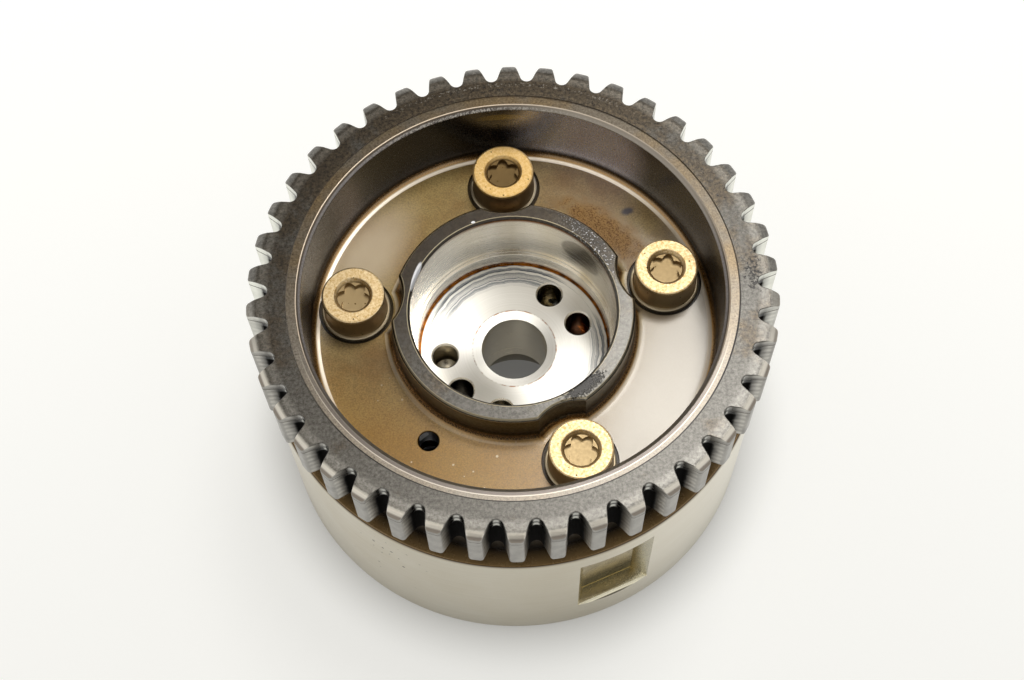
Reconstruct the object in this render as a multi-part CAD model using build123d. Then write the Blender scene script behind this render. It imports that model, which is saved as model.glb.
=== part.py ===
from build123d import *
import os
from math import atan2, cos, degrees, hypot, pi, radians, sin, sqrt, tan

# Vane-type hydraulic cam phaser, in millimetres, +Z up.
# It stands on the rim of its drum with the camshaft side up. The origin is the centre of
# the rim's underside. Angles are measured round +Z from +X.
# A toothed sprocket closes the top of the drum, a plain cover closes the bottom, and four
# bolts clamp all three together. A four-vane rotor turns inside between the drum's lobes.

# Silent-chain teeth: the tip circle is pitch * (cot(180 / count) + tip factor)
tooth_count = 42
chain_pitch = 6.35
tooth_tip_factor = 0.08
tooth_depth = 3.4
tooth_root_round = 1.1
tooth_flank_angle = 22.0
tooth_corner_round = 0.6
tooth_width = 10.3
tip_bevel_reach = 1.5
tip_bevel_drop = 0.7
tooth_foot_bevel = 0.3
first_tooth_angle = 89.0

# Heights of the stack, from the table up
cover_recess = 0.4
cover_thickness = 5.0
rotor_height = 21.35
axial_play = 0.05
plate_thickness = 8.75
rim_height = 14.4
collar_height = 6.3
spigot_length = 7.15

# Sprocket cup, plate and collar
recess_radius = 34.0
recess_chamfer = 0.7
turned_band_width = 1.55
turned_band_depth = 0.3
floor_round = 1.6
neck_step = 0.62
shoulder_gap = 0.1
collar_radius = 20.1
collar_bevel = 0.45
camshaft_bore_radius = 17.0
camshaft_bore_chamfer = 0.4
camshaft_bore_depth = 11.7
lower_bore_radius = 16.4

# Drum: walls are measured inwards from its outside
drum_radius = 41.8
drum_edge_chamfer = 0.4
chamber_wall = 7.3
spigot_wall = 5.2
cover_wall = 3.8
lobe_half_angle = 13.0
lobe_tip_round = 1.0
lobe_root_round = 1.5
pocket_depth = 3.1
pocket_floor_width = 9.2
pocket_side_angle = 37.0
pocket_bottom = 8.6
pocket_top = 30.0
pocket_lip_chamfer = 0.5

# Front cover
cover_bore_radius = 9.6
cover_edge_chamfer = 0.5

# Fits between pieces
spigot_clearance = 0.1
cover_clearance = 0.1
hub_clearance = 0.15
vane_tip_clearance = 0.1
seal_running_clearance = 0.05
seal_side_clearance = 0.05
spring_clearance = 0.05
pin_clearance = 0.05
press_clearance = 0.02

# Bolts: M6, six-lobed recess, flanged
bolt_angles = (15.5, 91.9, 171.6, 291.9)
bolt_circle_radius = 26.7
bolt_radius = 3.0
bolt_hole_clearance = 0.25
bolt_thread_clearance = 0.05
bolt_end_gap = 0.6
bolt_head_radius = 5.25
bolt_head_height = 6.1
bolt_head_chamfer = 0.35
bolt_flange_radius = 5.8
bolt_flange_height = 0.9
spotface_clearance = 0.5
spotface_depth = 0.4
wrench_notch_radius = 8.15
recess_lobe_radius = 2.75
recess_lobe_round = 0.72
recess_waist_round = 0.55
drive_recess_depth = 3.2
drive_recess_mouth_radius = 3.15
drive_recess_mouth_floor_radius = 2.25
drive_recess_mouth_depth = 0.45

# Rotor
hub_radius = 19.5
vane_half_angle = 8.0
stop_angle_gap = 0.4
phase_travel = 25.0
vane_tip_round = 1.8
vane_root_round = 0.6
camshaft_face_radius = 15.2
camshaft_face_depth = 0.15
bolt_bore_radius = 5.65
bolt_bore_length = 14.65
bolt_bore_sink_radius = 7.2
bolt_bore_sink_depth = 0.35
head_recess_radius = 10.2
port_circle_radius = 12.0
port_radius = 2.15
port_depth = 11.85
port_channel_radius = 1.2
oil_port_angles = (21.4, 57.5, 257.3)
channel_heights = (17.0, 20.0, 17.0)
release_port_angle = 219.0
dowel_hole_angle = 184.9
dowel_hole_depth = 6.0
drill_tip_half_angle = 59.0
port_edge_chamfer = 0.25

# Tip seals and their leaf springs
seal_slot_width = 2.0
vane_slot_depth = 3.2
vane_seal_height = 2.2
lobe_slot_depth = 2.2
lobe_seal_height = 1.4
seal_length_gap = 0.1
leaf_thickness = 0.2
leaf_end_gap = 1.6

# Lock pin and what holds it
lock_angle = 234.5
lock_circle_radius = 24.9
lock_body_radius = 4.45
lock_nose_radius = 3.0
lock_nose_taper = 0.4
lock_nose_length = 7.4
lock_nose_guide = 3.0
lock_retract = 1.2
lock_spring_bore_radius = 3.1
lock_roof_thickness = 2.3
vent_hole_radius = 1.65
bush_radius = 5.0
bush_height = 5.0
bush_bore_radius = 3.2
bush_mouth_chamfer = 0.5
seat_thickness = 1.2
seat_stud_radius = 1.9
seat_stud_height = 1.4
coil_radius = 2.55
coil_wire_radius = 0.35
coil_wire_sides = 6
coil_turns = 6.5
vent_groove_width = 3.0
vent_groove_depth = 1.0

# Locating pin between sprocket and drum, pressed in beside the third bolt
locating_pin_angle = bolt_angles[2] + 9.5
locating_pin_radius = 1.25
locating_pin_length = 8.0
locating_pin_end_chamfer = 0.3
locating_pin_inset = 2.7

# Sizes that follow from the values above
tip_radius = chain_pitch * (1 / tan(pi / tooth_count) + tooth_tip_factor) / 2
root_radius = tip_radius - tooth_depth
neck_radius = root_radius - neck_step
chamber_radius = drum_radius - chamber_wall
spigot_seat_radius = drum_radius - spigot_wall
spigot_radius = spigot_seat_radius - spigot_clearance
cover_seat_radius = drum_radius - cover_wall
cover_radius = cover_seat_radius - cover_clearance
pocket_floor_distance = drum_radius - pocket_depth
locating_pin_circle_radius = chamber_radius - locating_pin_inset
cover_top = cover_recess + cover_thickness
rotor_bottom = cover_top + axial_play
rotor_top = rotor_bottom + rotor_height
camshaft_face_z = rotor_top - camshaft_face_depth
plate_bottom = rotor_top + axial_play
drum_height = plate_bottom + spigot_length
floor_z = plate_bottom + plate_thickness
top_z = floor_z + rim_height
collar_top = floor_z + collar_height
band_z = top_z - turned_band_depth
bolt_seat_z = floor_z - spotface_depth
lobe_tip_radius = hub_radius + hub_clearance
lobe_slot_floor = lobe_tip_radius + lobe_slot_depth
lobe_seal_inner = hub_radius + seal_running_clearance
lobe_seal_outer = lobe_seal_inner + lobe_seal_height
vane_tip_radius = chamber_radius - vane_tip_clearance
vane_slot_floor = vane_tip_radius - vane_slot_depth
vane_seal_outer = chamber_radius - seal_running_clearance
vane_seal_inner = vane_seal_outer - vane_seal_height
rotor_middle = (rotor_bottom + rotor_top) / 2
seal_length = rotor_height - 2 * seal_length_gap
leaf_length = rotor_height - 2 * leaf_end_gap
lock_nose_top = rotor_top - axial_play
lock_shoulder_z = lock_nose_top - lock_nose_length
seat_top = rotor_bottom + seat_thickness
lock_bottom = seat_top + lock_retract + axial_play
overlap = 1.0  # how far a cut runs past the face it opens


def polar(radius, angle, height=0.0):
    return Vector(radius * cos(radians(angle)), radius * sin(radians(angle)), height)


def at(radius, angle, height=0.0):
    return Pos(polar(radius, angle, height)) * Rot(0, 0, angle)


def disc(radius, bottom, top):
    return extrude(Plane.XY.offset(bottom) * Circle(radius), top - bottom)


def turned(points):
    return revolve(Plane.XZ * make_face(Polyline(*points, close=True)), Axis.Z)


def write(shape, node):
    export_step(shape, f"parts/{node}.step")


# Tooth outline: one gap between two teeth is a round root, two straight flanks and two
# rounded tip corners, and the tip arc runs on to the next gap.
def gap_points():
    slope = radians(tooth_flank_angle)
    along = (cos(slope), sin(slope))
    across = (-sin(slope), cos(slope))
    centre = (root_radius + tooth_root_round, 0.0)
    root = (centre[0] + tooth_root_round * across[0], tooth_root_round * across[1])
    start = (root[0] + tooth_corner_round * across[0], root[1] + tooth_corner_round * across[1])
    reach = tip_radius - tooth_corner_round
    half = start[0] * along[0] + start[1] * along[1]
    run = -half + sqrt(half * half - start[0] ** 2 - start[1] ** 2 + reach * reach)
    corner = (start[0] + run * along[0], start[1] + run * along[1])
    flank = (root[0] + run * along[0], root[1] + run * along[1])
    scale = tip_radius / hypot(*corner)
    tip = (corner[0] * scale, corner[1] * scale)
    bisector = ((flank[0] + tip[0]) / 2 - corner[0], (flank[1] + tip[1]) / 2 - corner[1])
    stretch = tooth_corner_round / hypot(*bisector)
    middle = (corner[0] + bisector[0] * stretch, corner[1] + bisector[1] * stretch)
    return root, flank, middle, tip


def toothed_face():
    root, flank, middle, tip = gap_points()
    pitch_angle = 360 / tooth_count
    tip_angle = degrees(atan2(tip[1], tip[0]))
    edges = []
    for gap in range(tooth_count):
        turn = Rot(0, 0, (gap + 0.5) * pitch_angle + first_tooth_angle)
        mirror_root, mirror_flank = (root[0], -root[1]), (flank[0], -flank[1])
        mirror_middle, mirror_tip = (middle[0], -middle[1]), (tip[0], -tip[1])
        next_tip = polar(tip_radius, pitch_angle - tip_angle)
        top = polar(tip_radius, pitch_angle / 2)
        edges += [
            turn * ThreePointArc(mirror_tip, mirror_middle, mirror_flank),
            turn * Line(mirror_flank, mirror_root),
            turn * ThreePointArc(mirror_root, (root_radius, 0), root),
            turn * Line(root, flank),
            turn * ThreePointArc(flank, middle, tip),
            turn * ThreePointArc(tip, top, next_tip),
        ]
    return make_face(edges)


# Air inside the sprocket: the cup, the ring round the collar and the stepped camshaft bore
def sprocket_air():
    band_radius = recess_radius + recess_chamfer + turned_band_width
    wall_foot = recess_radius - floor_round
    collar_foot = collar_radius + floor_round
    diagonal = floor_round * (1 - cos(pi / 4))
    bore_end = collar_top - camshaft_bore_depth
    outline = [
        Line((0, top_z + overlap), (band_radius, top_z + overlap)),
        Line((band_radius, top_z + overlap), (band_radius, band_z)),
        Line((band_radius, band_z), (recess_radius + recess_chamfer, band_z)),
        Line((recess_radius + recess_chamfer, band_z), (recess_radius, band_z - recess_chamfer)),
        Line((recess_radius, band_z - recess_chamfer), (recess_radius, floor_z + floor_round)),
        ThreePointArc(
            (recess_radius, floor_z + floor_round),
            (recess_radius - diagonal, floor_z + diagonal),
            (wall_foot, floor_z),
        ),
        Line((wall_foot, floor_z), (collar_foot, floor_z)),
        ThreePointArc(
            (collar_foot, floor_z),
            (collar_radius + diagonal, floor_z + diagonal),
            (collar_radius, floor_z + floor_round),
        ),
        Line((collar_radius, floor_z + floor_round), (collar_radius, collar_top - collar_bevel)),
        Line((collar_radius, collar_top - collar_bevel), (collar_radius - collar_bevel, collar_top)),
        Line(
            (collar_radius - collar_bevel, collar_top),
            (camshaft_bore_radius + camshaft_bore_chamfer, collar_top),
        ),
        Line(
            (camshaft_bore_radius + camshaft_bore_chamfer, collar_top),
            (camshaft_bore_radius, collar_top - camshaft_bore_chamfer),
        ),
        Line((camshaft_bore_radius, collar_top - camshaft_bore_chamfer), (camshaft_bore_radius, bore_end)),
        Line((camshaft_bore_radius, bore_end), (lower_bore_radius, bore_end)),
        Line((lower_bore_radius, bore_end), (lower_bore_radius, plate_bottom - overlap)),
        Line((lower_bore_radius, plate_bottom - overlap), (0, plate_bottom - overlap)),
        Line((0, plate_bottom - overlap), (0, top_z + overlap)),
    ]
    return revolve(Plane.XZ * make_face(outline), Axis.Z)


# Room for the socket wrench: a round notch in the collar beside each bolt
def wrench_notch(angle):
    diagonal = floor_round * (1 - cos(pi / 4))
    radius = wrench_notch_radius
    outline = [
        Line((0, collar_top + overlap), (0, floor_z)),
        Line((0, floor_z), (radius - floor_round, floor_z)),
        ThreePointArc(
            (radius - floor_round, floor_z),
            (radius - diagonal, floor_z + diagonal),
            (radius, floor_z + floor_round),
        ),
        Line((radius, floor_z + floor_round), (radius, collar_top - collar_bevel)),
        Line((radius, collar_top - collar_bevel), (radius + collar_bevel, collar_top)),
        Line((radius + collar_bevel, collar_top), (radius + collar_bevel, collar_top + overlap)),
        Line((radius + collar_bevel, collar_top + overlap), (0, collar_top + overlap)),
    ]
    notch = at(bolt_circle_radius, angle) * revolve(Plane.XZ * make_face(outline), Axis.Z)
    return notch & disc(collar_radius + floor_round, floor_z - overlap, collar_top + overlap)


def tip_bevel():
    inner = tip_radius - tip_bevel_reach
    low = top_z - tip_bevel_drop
    outer = tip_radius + overlap
    return turned([
        (inner, top_z),
        (tip_radius, low),
        (outer, low),
        (outer, top_z + overlap),
        (inner, top_z + overlap),
    ])


def tooth_foot_cut():
    foot = top_z - tooth_width
    return turned([
        (tip_radius - tooth_foot_bevel, foot - overlap),
        (tip_radius - tooth_foot_bevel, foot),
        (tip_radius, foot + tooth_foot_bevel),
        (tip_radius + overlap, foot + tooth_foot_bevel),
        (tip_radius + overlap, foot - overlap),
    ])


# Sprocket: teeth, cup wall, plate and notched collar, sintered and turned as one piece
def make_sprocket():
    teeth_bottom = top_z - tooth_width
    shoulder = drum_height + shoulder_gap
    body = extrude(Plane.XY.offset(teeth_bottom) * toothed_face(), tooth_width)
    body -= tip_bevel()
    body -= tooth_foot_cut()
    body += disc(neck_radius, shoulder, teeth_bottom + overlap)
    body += disc(spigot_radius, plate_bottom, shoulder + overlap)
    body -= sprocket_air()
    hole = bolt_radius + bolt_hole_clearance
    spotface = bolt_flange_radius + spotface_clearance
    for angle in bolt_angles:
        body -= wrench_notch(angle)
        place = at(bolt_circle_radius, angle)
        body -= place * disc(spotface, bolt_seat_z, floor_z + floor_round)
        body -= place * disc(hole, plate_bottom - overlap, floor_z)
    lock = at(lock_circle_radius, lock_angle)
    body -= lock * disc(vent_hole_radius, plate_bottom, floor_z + overlap)
    body -= lock * disc(bush_radius, plate_bottom - overlap, plate_bottom + bush_height)
    pin_hole = locating_pin_radius + press_clearance
    pin_top = plate_bottom + locating_pin_length / 2 + press_clearance
    pin_place = at(locating_pin_circle_radius, locating_pin_angle)
    body -= pin_place * disc(pin_hole, plate_bottom - overlap, pin_top)
    return body


# A sector of a ring, used for the drum's lobes and the rotor's vanes
def sector(inner, outer, start, end):
    middle = (start + end) / 2
    return make_face([
        Line(polar(inner, start), polar(outer, start)),
        ThreePointArc(polar(outer, start), polar(outer, middle), polar(outer, end)),
        Line(polar(outer, end), polar(inner, end)),
        ThreePointArc(polar(inner, end), polar(inner, middle), polar(inner, start)),
    ])


def corners(face, radius):
    return [v for v in face.vertices() if abs(hypot(v.X, v.Y) - radius) < 0.01]


# Outline of the oil chambers: a round bore with four lobes left standing in it
def chamber_face():
    face = Circle(chamber_radius)
    for angle in bolt_angles:
        face -= sector(
            lobe_tip_radius,
            chamber_radius + overlap,
            angle - lobe_half_angle,
            angle + lobe_half_angle,
        )
    face = fillet(corners(face, chamber_radius), lobe_root_round)
    return fillet(corners(face, lobe_tip_radius), lobe_tip_round)


def drum_pocket():
    angle = bolt_angles[-1]
    depth = drum_radius - pocket_floor_distance + overlap
    half_floor = pocket_floor_width / 2
    half_mouth = half_floor + depth * tan(radians(pocket_side_angle))
    reach = pocket_floor_distance + depth
    outline = Polyline(
        (pocket_floor_distance, -half_floor),
        (reach, -half_mouth),
        (reach, half_mouth),
        (pocket_floor_distance, half_floor),
        close=True,
    )
    pocket = extrude(Plane.XY.offset(pocket_bottom) * make_face(outline), pocket_top - pocket_bottom)
    lip_depth = drum_radius - pocket_lip_chamfer
    lip_outline = Polyline(
        (lip_depth, pocket_bottom),
        (reach, pocket_bottom - (reach - lip_depth)),
        (reach, pocket_bottom + overlap),
        (lip_depth, pocket_bottom + overlap),
        close=True,
    )
    lip_half = half_floor + (lip_depth - pocket_floor_distance) * tan(radians(pocket_side_angle))
    lip = extrude(Plane.XZ.offset(-lip_half) * make_face(lip_outline), 2 * lip_half)
    return Rot(0, 0, angle) * (pocket + lip)


# Seal slots are cut to the same width in vanes and lobes
def seal_slot(radius_start, radius_end, angle):
    length = radius_end - radius_start
    box = Box(length, seal_slot_width, rotor_height + 2 * overlap)
    return at((radius_start + radius_end) / 2, angle, rotor_middle) * box


# Drum: ground outside, four lobes inside, open at both ends for sprocket and cover
def make_drum():
    edge = drum_edge_chamfer
    body = turned([
        (0, 0),
        (drum_radius - edge, 0),
        (drum_radius, edge),
        (drum_radius, drum_height - edge),
        (drum_radius - edge, drum_height),
        (0, drum_height),
    ])
    body -= extrude(Plane.XY.offset(-overlap) * chamber_face(), drum_height + 2 * overlap)
    body -= disc(spigot_seat_radius, plate_bottom, drum_height + overlap)
    body -= disc(cover_seat_radius, -overlap, cover_top)
    for angle in bolt_angles:
        hole = bolt_radius + bolt_hole_clearance
        body -= at(bolt_circle_radius, angle) * disc(hole, cover_top - overlap, plate_bottom + overlap)
        body -= seal_slot(lobe_tip_radius - overlap, lobe_slot_floor, angle)
    pin_bottom = plate_bottom - locating_pin_length / 2 - press_clearance
    pin_hole = locating_pin_radius + press_clearance
    pin_place = at(locating_pin_circle_radius, locating_pin_angle)
    body -= pin_place * disc(pin_hole, pin_bottom, plate_bottom + overlap)
    return body - drum_pocket()


# Front cover: a plain disc let into the bottom of the drum, threaded for the bolts
def make_cover():
    edge = cover_edge_chamfer
    body = turned([
        (cover_bore_radius + edge, cover_recess),
        (cover_radius - edge, cover_recess),
        (cover_radius, cover_recess + edge),
        (cover_radius, cover_top),
        (cover_bore_radius, cover_top),
        (cover_bore_radius, cover_recess + edge),
    ])
    hole = bolt_radius + bolt_thread_clearance
    for angle in bolt_angles:
        body -= at(bolt_circle_radius, angle) * disc(hole, cover_recess - overlap, cover_top + overlap)
    return body


# Six-lobed drive recess, with a countersunk mouth
def drive_recess():
    face = Circle(recess_lobe_radius * cos(pi / 6))
    for lobe in range(6):
        turn = Rot(0, 0, lobe * 60)
        face += turn * Pos(recess_lobe_radius - recess_lobe_round, 0) * Circle(recess_lobe_round)
    waist = recess_lobe_radius * cos(pi / 6)
    for lobe in range(6):
        turn = Rot(0, 0, lobe * 60 + 30)
        face -= turn * Pos(waist, 0) * Circle(recess_waist_round)
    head_top = bolt_seat_z + bolt_head_height
    recess = extrude(Plane.XY.offset(head_top - drive_recess_depth) * face, drive_recess_depth + overlap)
    mouth = turned([
        (0, head_top - drive_recess_mouth_depth),
        (drive_recess_mouth_floor_radius, head_top - drive_recess_mouth_depth),
        (drive_recess_mouth_radius, head_top),
        (drive_recess_mouth_radius, head_top + overlap),
        (0, head_top + overlap),
    ])
    return recess + mouth


def make_bolt():
    head_top = bolt_seat_z + bolt_head_height
    flange_top = bolt_seat_z + bolt_flange_height
    end = cover_recess + bolt_end_gap
    tip = bolt_radius - bolt_end_gap
    bolt = turned([
        (0, end),
        (tip, end),
        (bolt_radius, end + bolt_end_gap),
        (bolt_radius, bolt_seat_z),
        (bolt_flange_radius, bolt_seat_z),
        (bolt_flange_radius, flange_top),
        (bolt_head_radius, flange_top),
        (bolt_head_radius, head_top - bolt_head_chamfer),
        (bolt_head_radius - bolt_head_chamfer, head_top),
        (0, head_top),
    ])
    return bolt - drive_recess()


# Vanes: the wide one carries the lock pin and meets a lobe at each end of the travel.
# The other three stand midway in what the lobes leave them.
def vane_spans():
    spans = []
    for index, angle in enumerate(bolt_angles):
        following = bolt_angles[(index + 1) % len(bolt_angles)]
        free_start = angle + lobe_half_angle
        free_end = angle + (following - angle) % 360 - lobe_half_angle
        if free_start < lock_angle < free_end:
            spans.append((free_start + stop_angle_gap, free_end - phase_travel - stop_angle_gap))
        else:
            middle = (free_start + free_end - phase_travel) / 2
            spans.append((middle - vane_half_angle, middle + vane_half_angle))
    return spans


def rotor_face():
    face = Circle(hub_radius)
    for start, end in vane_spans():
        face += sector(hub_radius - overlap, vane_tip_radius, start, end)
    face = fillet(corners(face, vane_tip_radius), vane_tip_round)
    return fillet(corners(face, hub_radius), vane_root_round)


def drilled_hole(radius, angle, depth):
    bottom = camshaft_face_z - depth
    tip = radius / tan(radians(drill_tip_half_angle))
    edge = port_edge_chamfer
    return at(port_circle_radius, angle) * turned([
        (0, bottom - tip),
        (radius, bottom),
        (radius, camshaft_face_z - edge),
        (radius + edge, camshaft_face_z),
        (radius + edge, rotor_top + overlap),
        (0, rotor_top + overlap),
    ])


def channel(start, end):
    way = end - start
    plane = Plane(origin=start, z_dir=way.normalized())
    return extrude(plane * Circle(port_channel_radius), way.length)


# Rotor: hub with four vanes, oil ports from the camshaft face, and the lock pin's bore
def make_rotor():
    body = extrude(Plane.XY.offset(rotor_bottom) * rotor_face(), rotor_height)
    seat = camshaft_face_z - bolt_bore_length
    body -= turned([
        (0, rotor_bottom - overlap),
        (head_recess_radius, rotor_bottom - overlap),
        (head_recess_radius, seat),
        (bolt_bore_radius, seat),
        (bolt_bore_radius, camshaft_face_z - bolt_bore_sink_depth),
        (bolt_bore_sink_radius, camshaft_face_z),
        (camshaft_face_radius, camshaft_face_z),
        (camshaft_face_radius, rotor_top + overlap),
        (0, rotor_top + overlap),
    ])
    for angle, height in zip(oil_port_angles, channel_heights):
        body -= drilled_hole(port_radius, angle, port_depth)
        start = polar(port_circle_radius, angle, height)
        body -= channel(start, polar(hub_radius + overlap, angle, height))
    body -= drilled_hole(port_radius, release_port_angle, port_depth)
    body -= drilled_hole(port_radius, dowel_hole_angle, dowel_hole_depth)
    guide_bottom = rotor_top - lock_nose_guide
    release_height = (guide_bottom + lock_shoulder_z) / 2
    release_start = polar(port_circle_radius, release_port_angle, release_height)
    body -= channel(release_start, polar(lock_circle_radius, lock_angle, release_height))
    lock = at(lock_circle_radius, lock_angle)
    body -= lock * disc(lock_body_radius + pin_clearance, rotor_bottom - overlap, guide_bottom)
    body -= lock * disc(lock_nose_radius + pin_clearance, guide_bottom - overlap, rotor_top + overlap)
    groove = Box(lock_circle_radius, vent_groove_width, 2 * vent_groove_depth)
    body -= Rot(0, 0, lock_angle) * Pos(lock_circle_radius / 2, 0, rotor_bottom) * groove
    for start, end in vane_spans():
        body -= seal_slot(vane_slot_floor, vane_tip_radius + overlap, (start + end) / 2)
    return body


def seal_bar(inner, outer, angle):
    width = seal_slot_width - 2 * seal_side_clearance
    bar = Box(2 * overlap + outer - inner, width, seal_length)
    bar = at((inner + outer) / 2, angle, rotor_middle) * bar
    low, high = rotor_middle - seal_length / 2, rotor_middle + seal_length / 2
    return bar & (disc(outer, low, high) - disc(inner, low - overlap, high + overlap))


# Leaf spring: a bowed strip, its ends on the slot's floor and its middle on the seal
def leaf_spring(floor, crest, angle):
    half = leaf_length / 2
    step = leaf_thickness if crest > floor else -leaf_thickness
    outline = [
        ThreePointArc((floor, -half), (crest - step, 0), (floor, half)),
        Line((floor, half), (floor + step, half)),
        ThreePointArc((floor + step, half), (crest, 0), (floor + step, -half)),
        Line((floor + step, -half), (floor, -half)),
    ]
    width = seal_slot_width - 4 * seal_side_clearance
    strip = extrude(Plane.XZ.offset(-width / 2) * make_face(outline), width)
    return Rot(0, 0, angle) * Pos(0, 0, rotor_middle) * strip


# Lock pin: a hollow steel plunger, drawn down so that its nose is just clear of the bush
def make_lock_pin():
    taper = lock_nose_taper
    roof = lock_shoulder_z - lock_roof_thickness
    return at(lock_circle_radius, lock_angle) * turned([
        (lock_spring_bore_radius, lock_bottom),
        (lock_body_radius, lock_bottom),
        (lock_body_radius, lock_shoulder_z),
        (lock_nose_radius, lock_shoulder_z),
        (lock_nose_radius, lock_nose_top - taper),
        (lock_nose_radius - taper, lock_nose_top),
        (0, lock_nose_top),
        (0, roof),
        (lock_spring_bore_radius, roof),
    ])


# Lock spring: its wire is drawn with flat sides, so that the coil has few faces
def make_lock_spring():
    roof = lock_shoulder_z - lock_roof_thickness
    low = seat_top + coil_wire_radius + spring_clearance
    high = roof - coil_wire_radius - spring_clearance
    path = Helix(pitch=(high - low) / coil_turns, height=high - low, radius=coil_radius)
    wire = Plane(origin=path @ 0, z_dir=path % 0) * RegularPolygon(coil_wire_radius, coil_wire_sides)
    return at(lock_circle_radius, lock_angle, low) * sweep(wire, path=path, is_frenet=True)


def make_spring_seat():
    return at(lock_circle_radius, lock_angle) * turned([
        (0, rotor_bottom),
        (lock_body_radius, rotor_bottom),
        (lock_body_radius, seat_top),
        (seat_stud_radius, seat_top),
        (seat_stud_radius, seat_top + seat_stud_height),
        (0, seat_top + seat_stud_height),
    ])


# Bush: a hardened ring in the sprocket's plate that the lock pin drops into
def make_bush():
    mouth = bush_bore_radius + bush_mouth_chamfer
    top = plate_bottom + bush_height - press_clearance
    outer = bush_radius - press_clearance
    return at(lock_circle_radius, lock_angle) * turned([
        (mouth, plate_bottom),
        (outer, plate_bottom),
        (outer, top),
        (bush_bore_radius, top),
        (bush_bore_radius, plate_bottom + bush_mouth_chamfer),
    ])


def make_locating_pin():
    half = locating_pin_length / 2
    chamfered = locating_pin_radius - locating_pin_end_chamfer
    return at(locating_pin_circle_radius, locating_pin_angle, plate_bottom) * turned([
        (0, -half),
        (chamfered, -half),
        (locating_pin_radius, -half + locating_pin_end_chamfer),
        (locating_pin_radius, half - locating_pin_end_chamfer),
        (chamfered, half),
        (0, half),
    ])


os.makedirs("parts", exist_ok=True)
write(make_sprocket(), "sprocket")
write(make_drum(), "drum")
write(make_cover(), "front_cover")
bolt = make_bolt()
write(Compound([at(bolt_circle_radius, angle) * bolt for angle in bolt_angles]), "torx_bolts")
write(make_rotor(), "rotor")
write(make_lock_pin(), "lock_pin")
write(make_lock_spring(), "lock_pin_spring")
write(make_spring_seat(), "spring_seat")
write(make_bush(), "lock_pin_bush")
write(make_locating_pin(), "locating_pin")

for number, (start, end) in enumerate(vane_spans(), 1):
    angle = (start + end) / 2
    write(seal_bar(vane_seal_inner, vane_seal_outer, angle), f"vane_seal_{number}")
    leaf = leaf_spring(vane_slot_floor + spring_clearance, vane_seal_inner - spring_clearance, angle)
    write(leaf, f"vane_seal_spring_{number}")

for number, angle in enumerate(bolt_angles, 1):
    write(seal_bar(lobe_seal_inner, lobe_seal_outer, angle), f"lobe_seal_{number}")
    leaf = leaf_spring(lobe_slot_floor - spring_clearance, lobe_seal_outer + spring_clearance, angle)
    write(leaf, f"lobe_seal_spring_{number}")
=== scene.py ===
from math import asin, atan2, cos, degrees, hypot, pi, radians, sin, sqrt, tan

import bmesh
import bpy
import numpy as np
from mathutils import Matrix, Vector


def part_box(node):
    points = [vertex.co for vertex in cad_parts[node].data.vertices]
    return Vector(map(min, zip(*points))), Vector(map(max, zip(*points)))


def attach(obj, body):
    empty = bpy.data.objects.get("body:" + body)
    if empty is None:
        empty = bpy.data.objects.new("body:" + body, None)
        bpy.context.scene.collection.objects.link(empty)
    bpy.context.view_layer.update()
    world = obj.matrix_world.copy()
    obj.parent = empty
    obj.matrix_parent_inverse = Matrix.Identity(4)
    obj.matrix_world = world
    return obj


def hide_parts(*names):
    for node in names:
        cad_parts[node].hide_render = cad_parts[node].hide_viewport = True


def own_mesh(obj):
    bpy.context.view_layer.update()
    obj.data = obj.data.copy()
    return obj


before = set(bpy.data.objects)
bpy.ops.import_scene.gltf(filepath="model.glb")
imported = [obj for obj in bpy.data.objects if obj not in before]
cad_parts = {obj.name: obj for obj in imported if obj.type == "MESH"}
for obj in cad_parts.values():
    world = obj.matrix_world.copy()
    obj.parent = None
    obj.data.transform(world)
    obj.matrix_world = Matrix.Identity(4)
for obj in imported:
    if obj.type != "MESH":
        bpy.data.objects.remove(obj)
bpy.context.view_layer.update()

# Camera
# The part is seen from the front and well above, from about 30 cm, with the picture
# turned a little clockwise.
mm = 0.001
camera_elevation = radians(64.58)
camera_roll = radians(2.03)
camera_distance = 256.0 * mm
camera_aim_height = 49.4 * mm
camera_offset = (0.36 * mm, 8.36 * mm)
focal_pixels = 1602.1
picture_width = 1024
sensor_width = 36.0

camera_back = Vector((0, -cos(camera_elevation), sin(camera_elevation)))
camera_right = Vector((1, 0, 0))
camera_up = Vector((0, sin(camera_elevation), cos(camera_elevation)))
turned_right = camera_right * cos(camera_roll) - camera_up * sin(camera_roll)
turned_up = camera_right * sin(camera_roll) + camera_up * cos(camera_roll)
camera_place = camera_back * camera_distance
camera_place -= camera_right * camera_offset[0] + camera_up * camera_offset[1]
camera_place.z += camera_aim_height
camera_data = bpy.data.cameras.new("camera")
camera_data.sensor_width = sensor_width
camera_data.lens = focal_pixels / picture_width * sensor_width
camera_data.clip_start = 0.01
camera = bpy.data.objects.new("camera", camera_data)
bpy.context.collection.objects.link(camera)
turn = Matrix((turned_right, turned_up, camera_back)).transposed().to_4x4()
camera.matrix_world = Matrix.Translation(camera_place) @ turn
bpy.context.scene.camera = camera


# Studio floor and light
# A pale matt table in a light room, one square lamp above the part and to its right, and a
# weaker one straight above. The ceiling behind is darker, and so is the place of the camera.
# The camera and every mirror see the table a little brighter than the light makes it.
def add(tree, kind, inputs=(), **settings):
    """Adds a node with its settings, values and links to the tree."""
    made = tree.nodes.new(kind)
    for name, value in settings.items():
        setattr(made, name, value)
    for key, value in dict(inputs).items():
        if isinstance(value, bpy.types.Node):
            value = value.outputs[0]
        if isinstance(value, bpy.types.NodeSocket):
            tree.links.new(value, made.inputs[key])
        else:
            made.inputs[key].default_value = value
    return made


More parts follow.
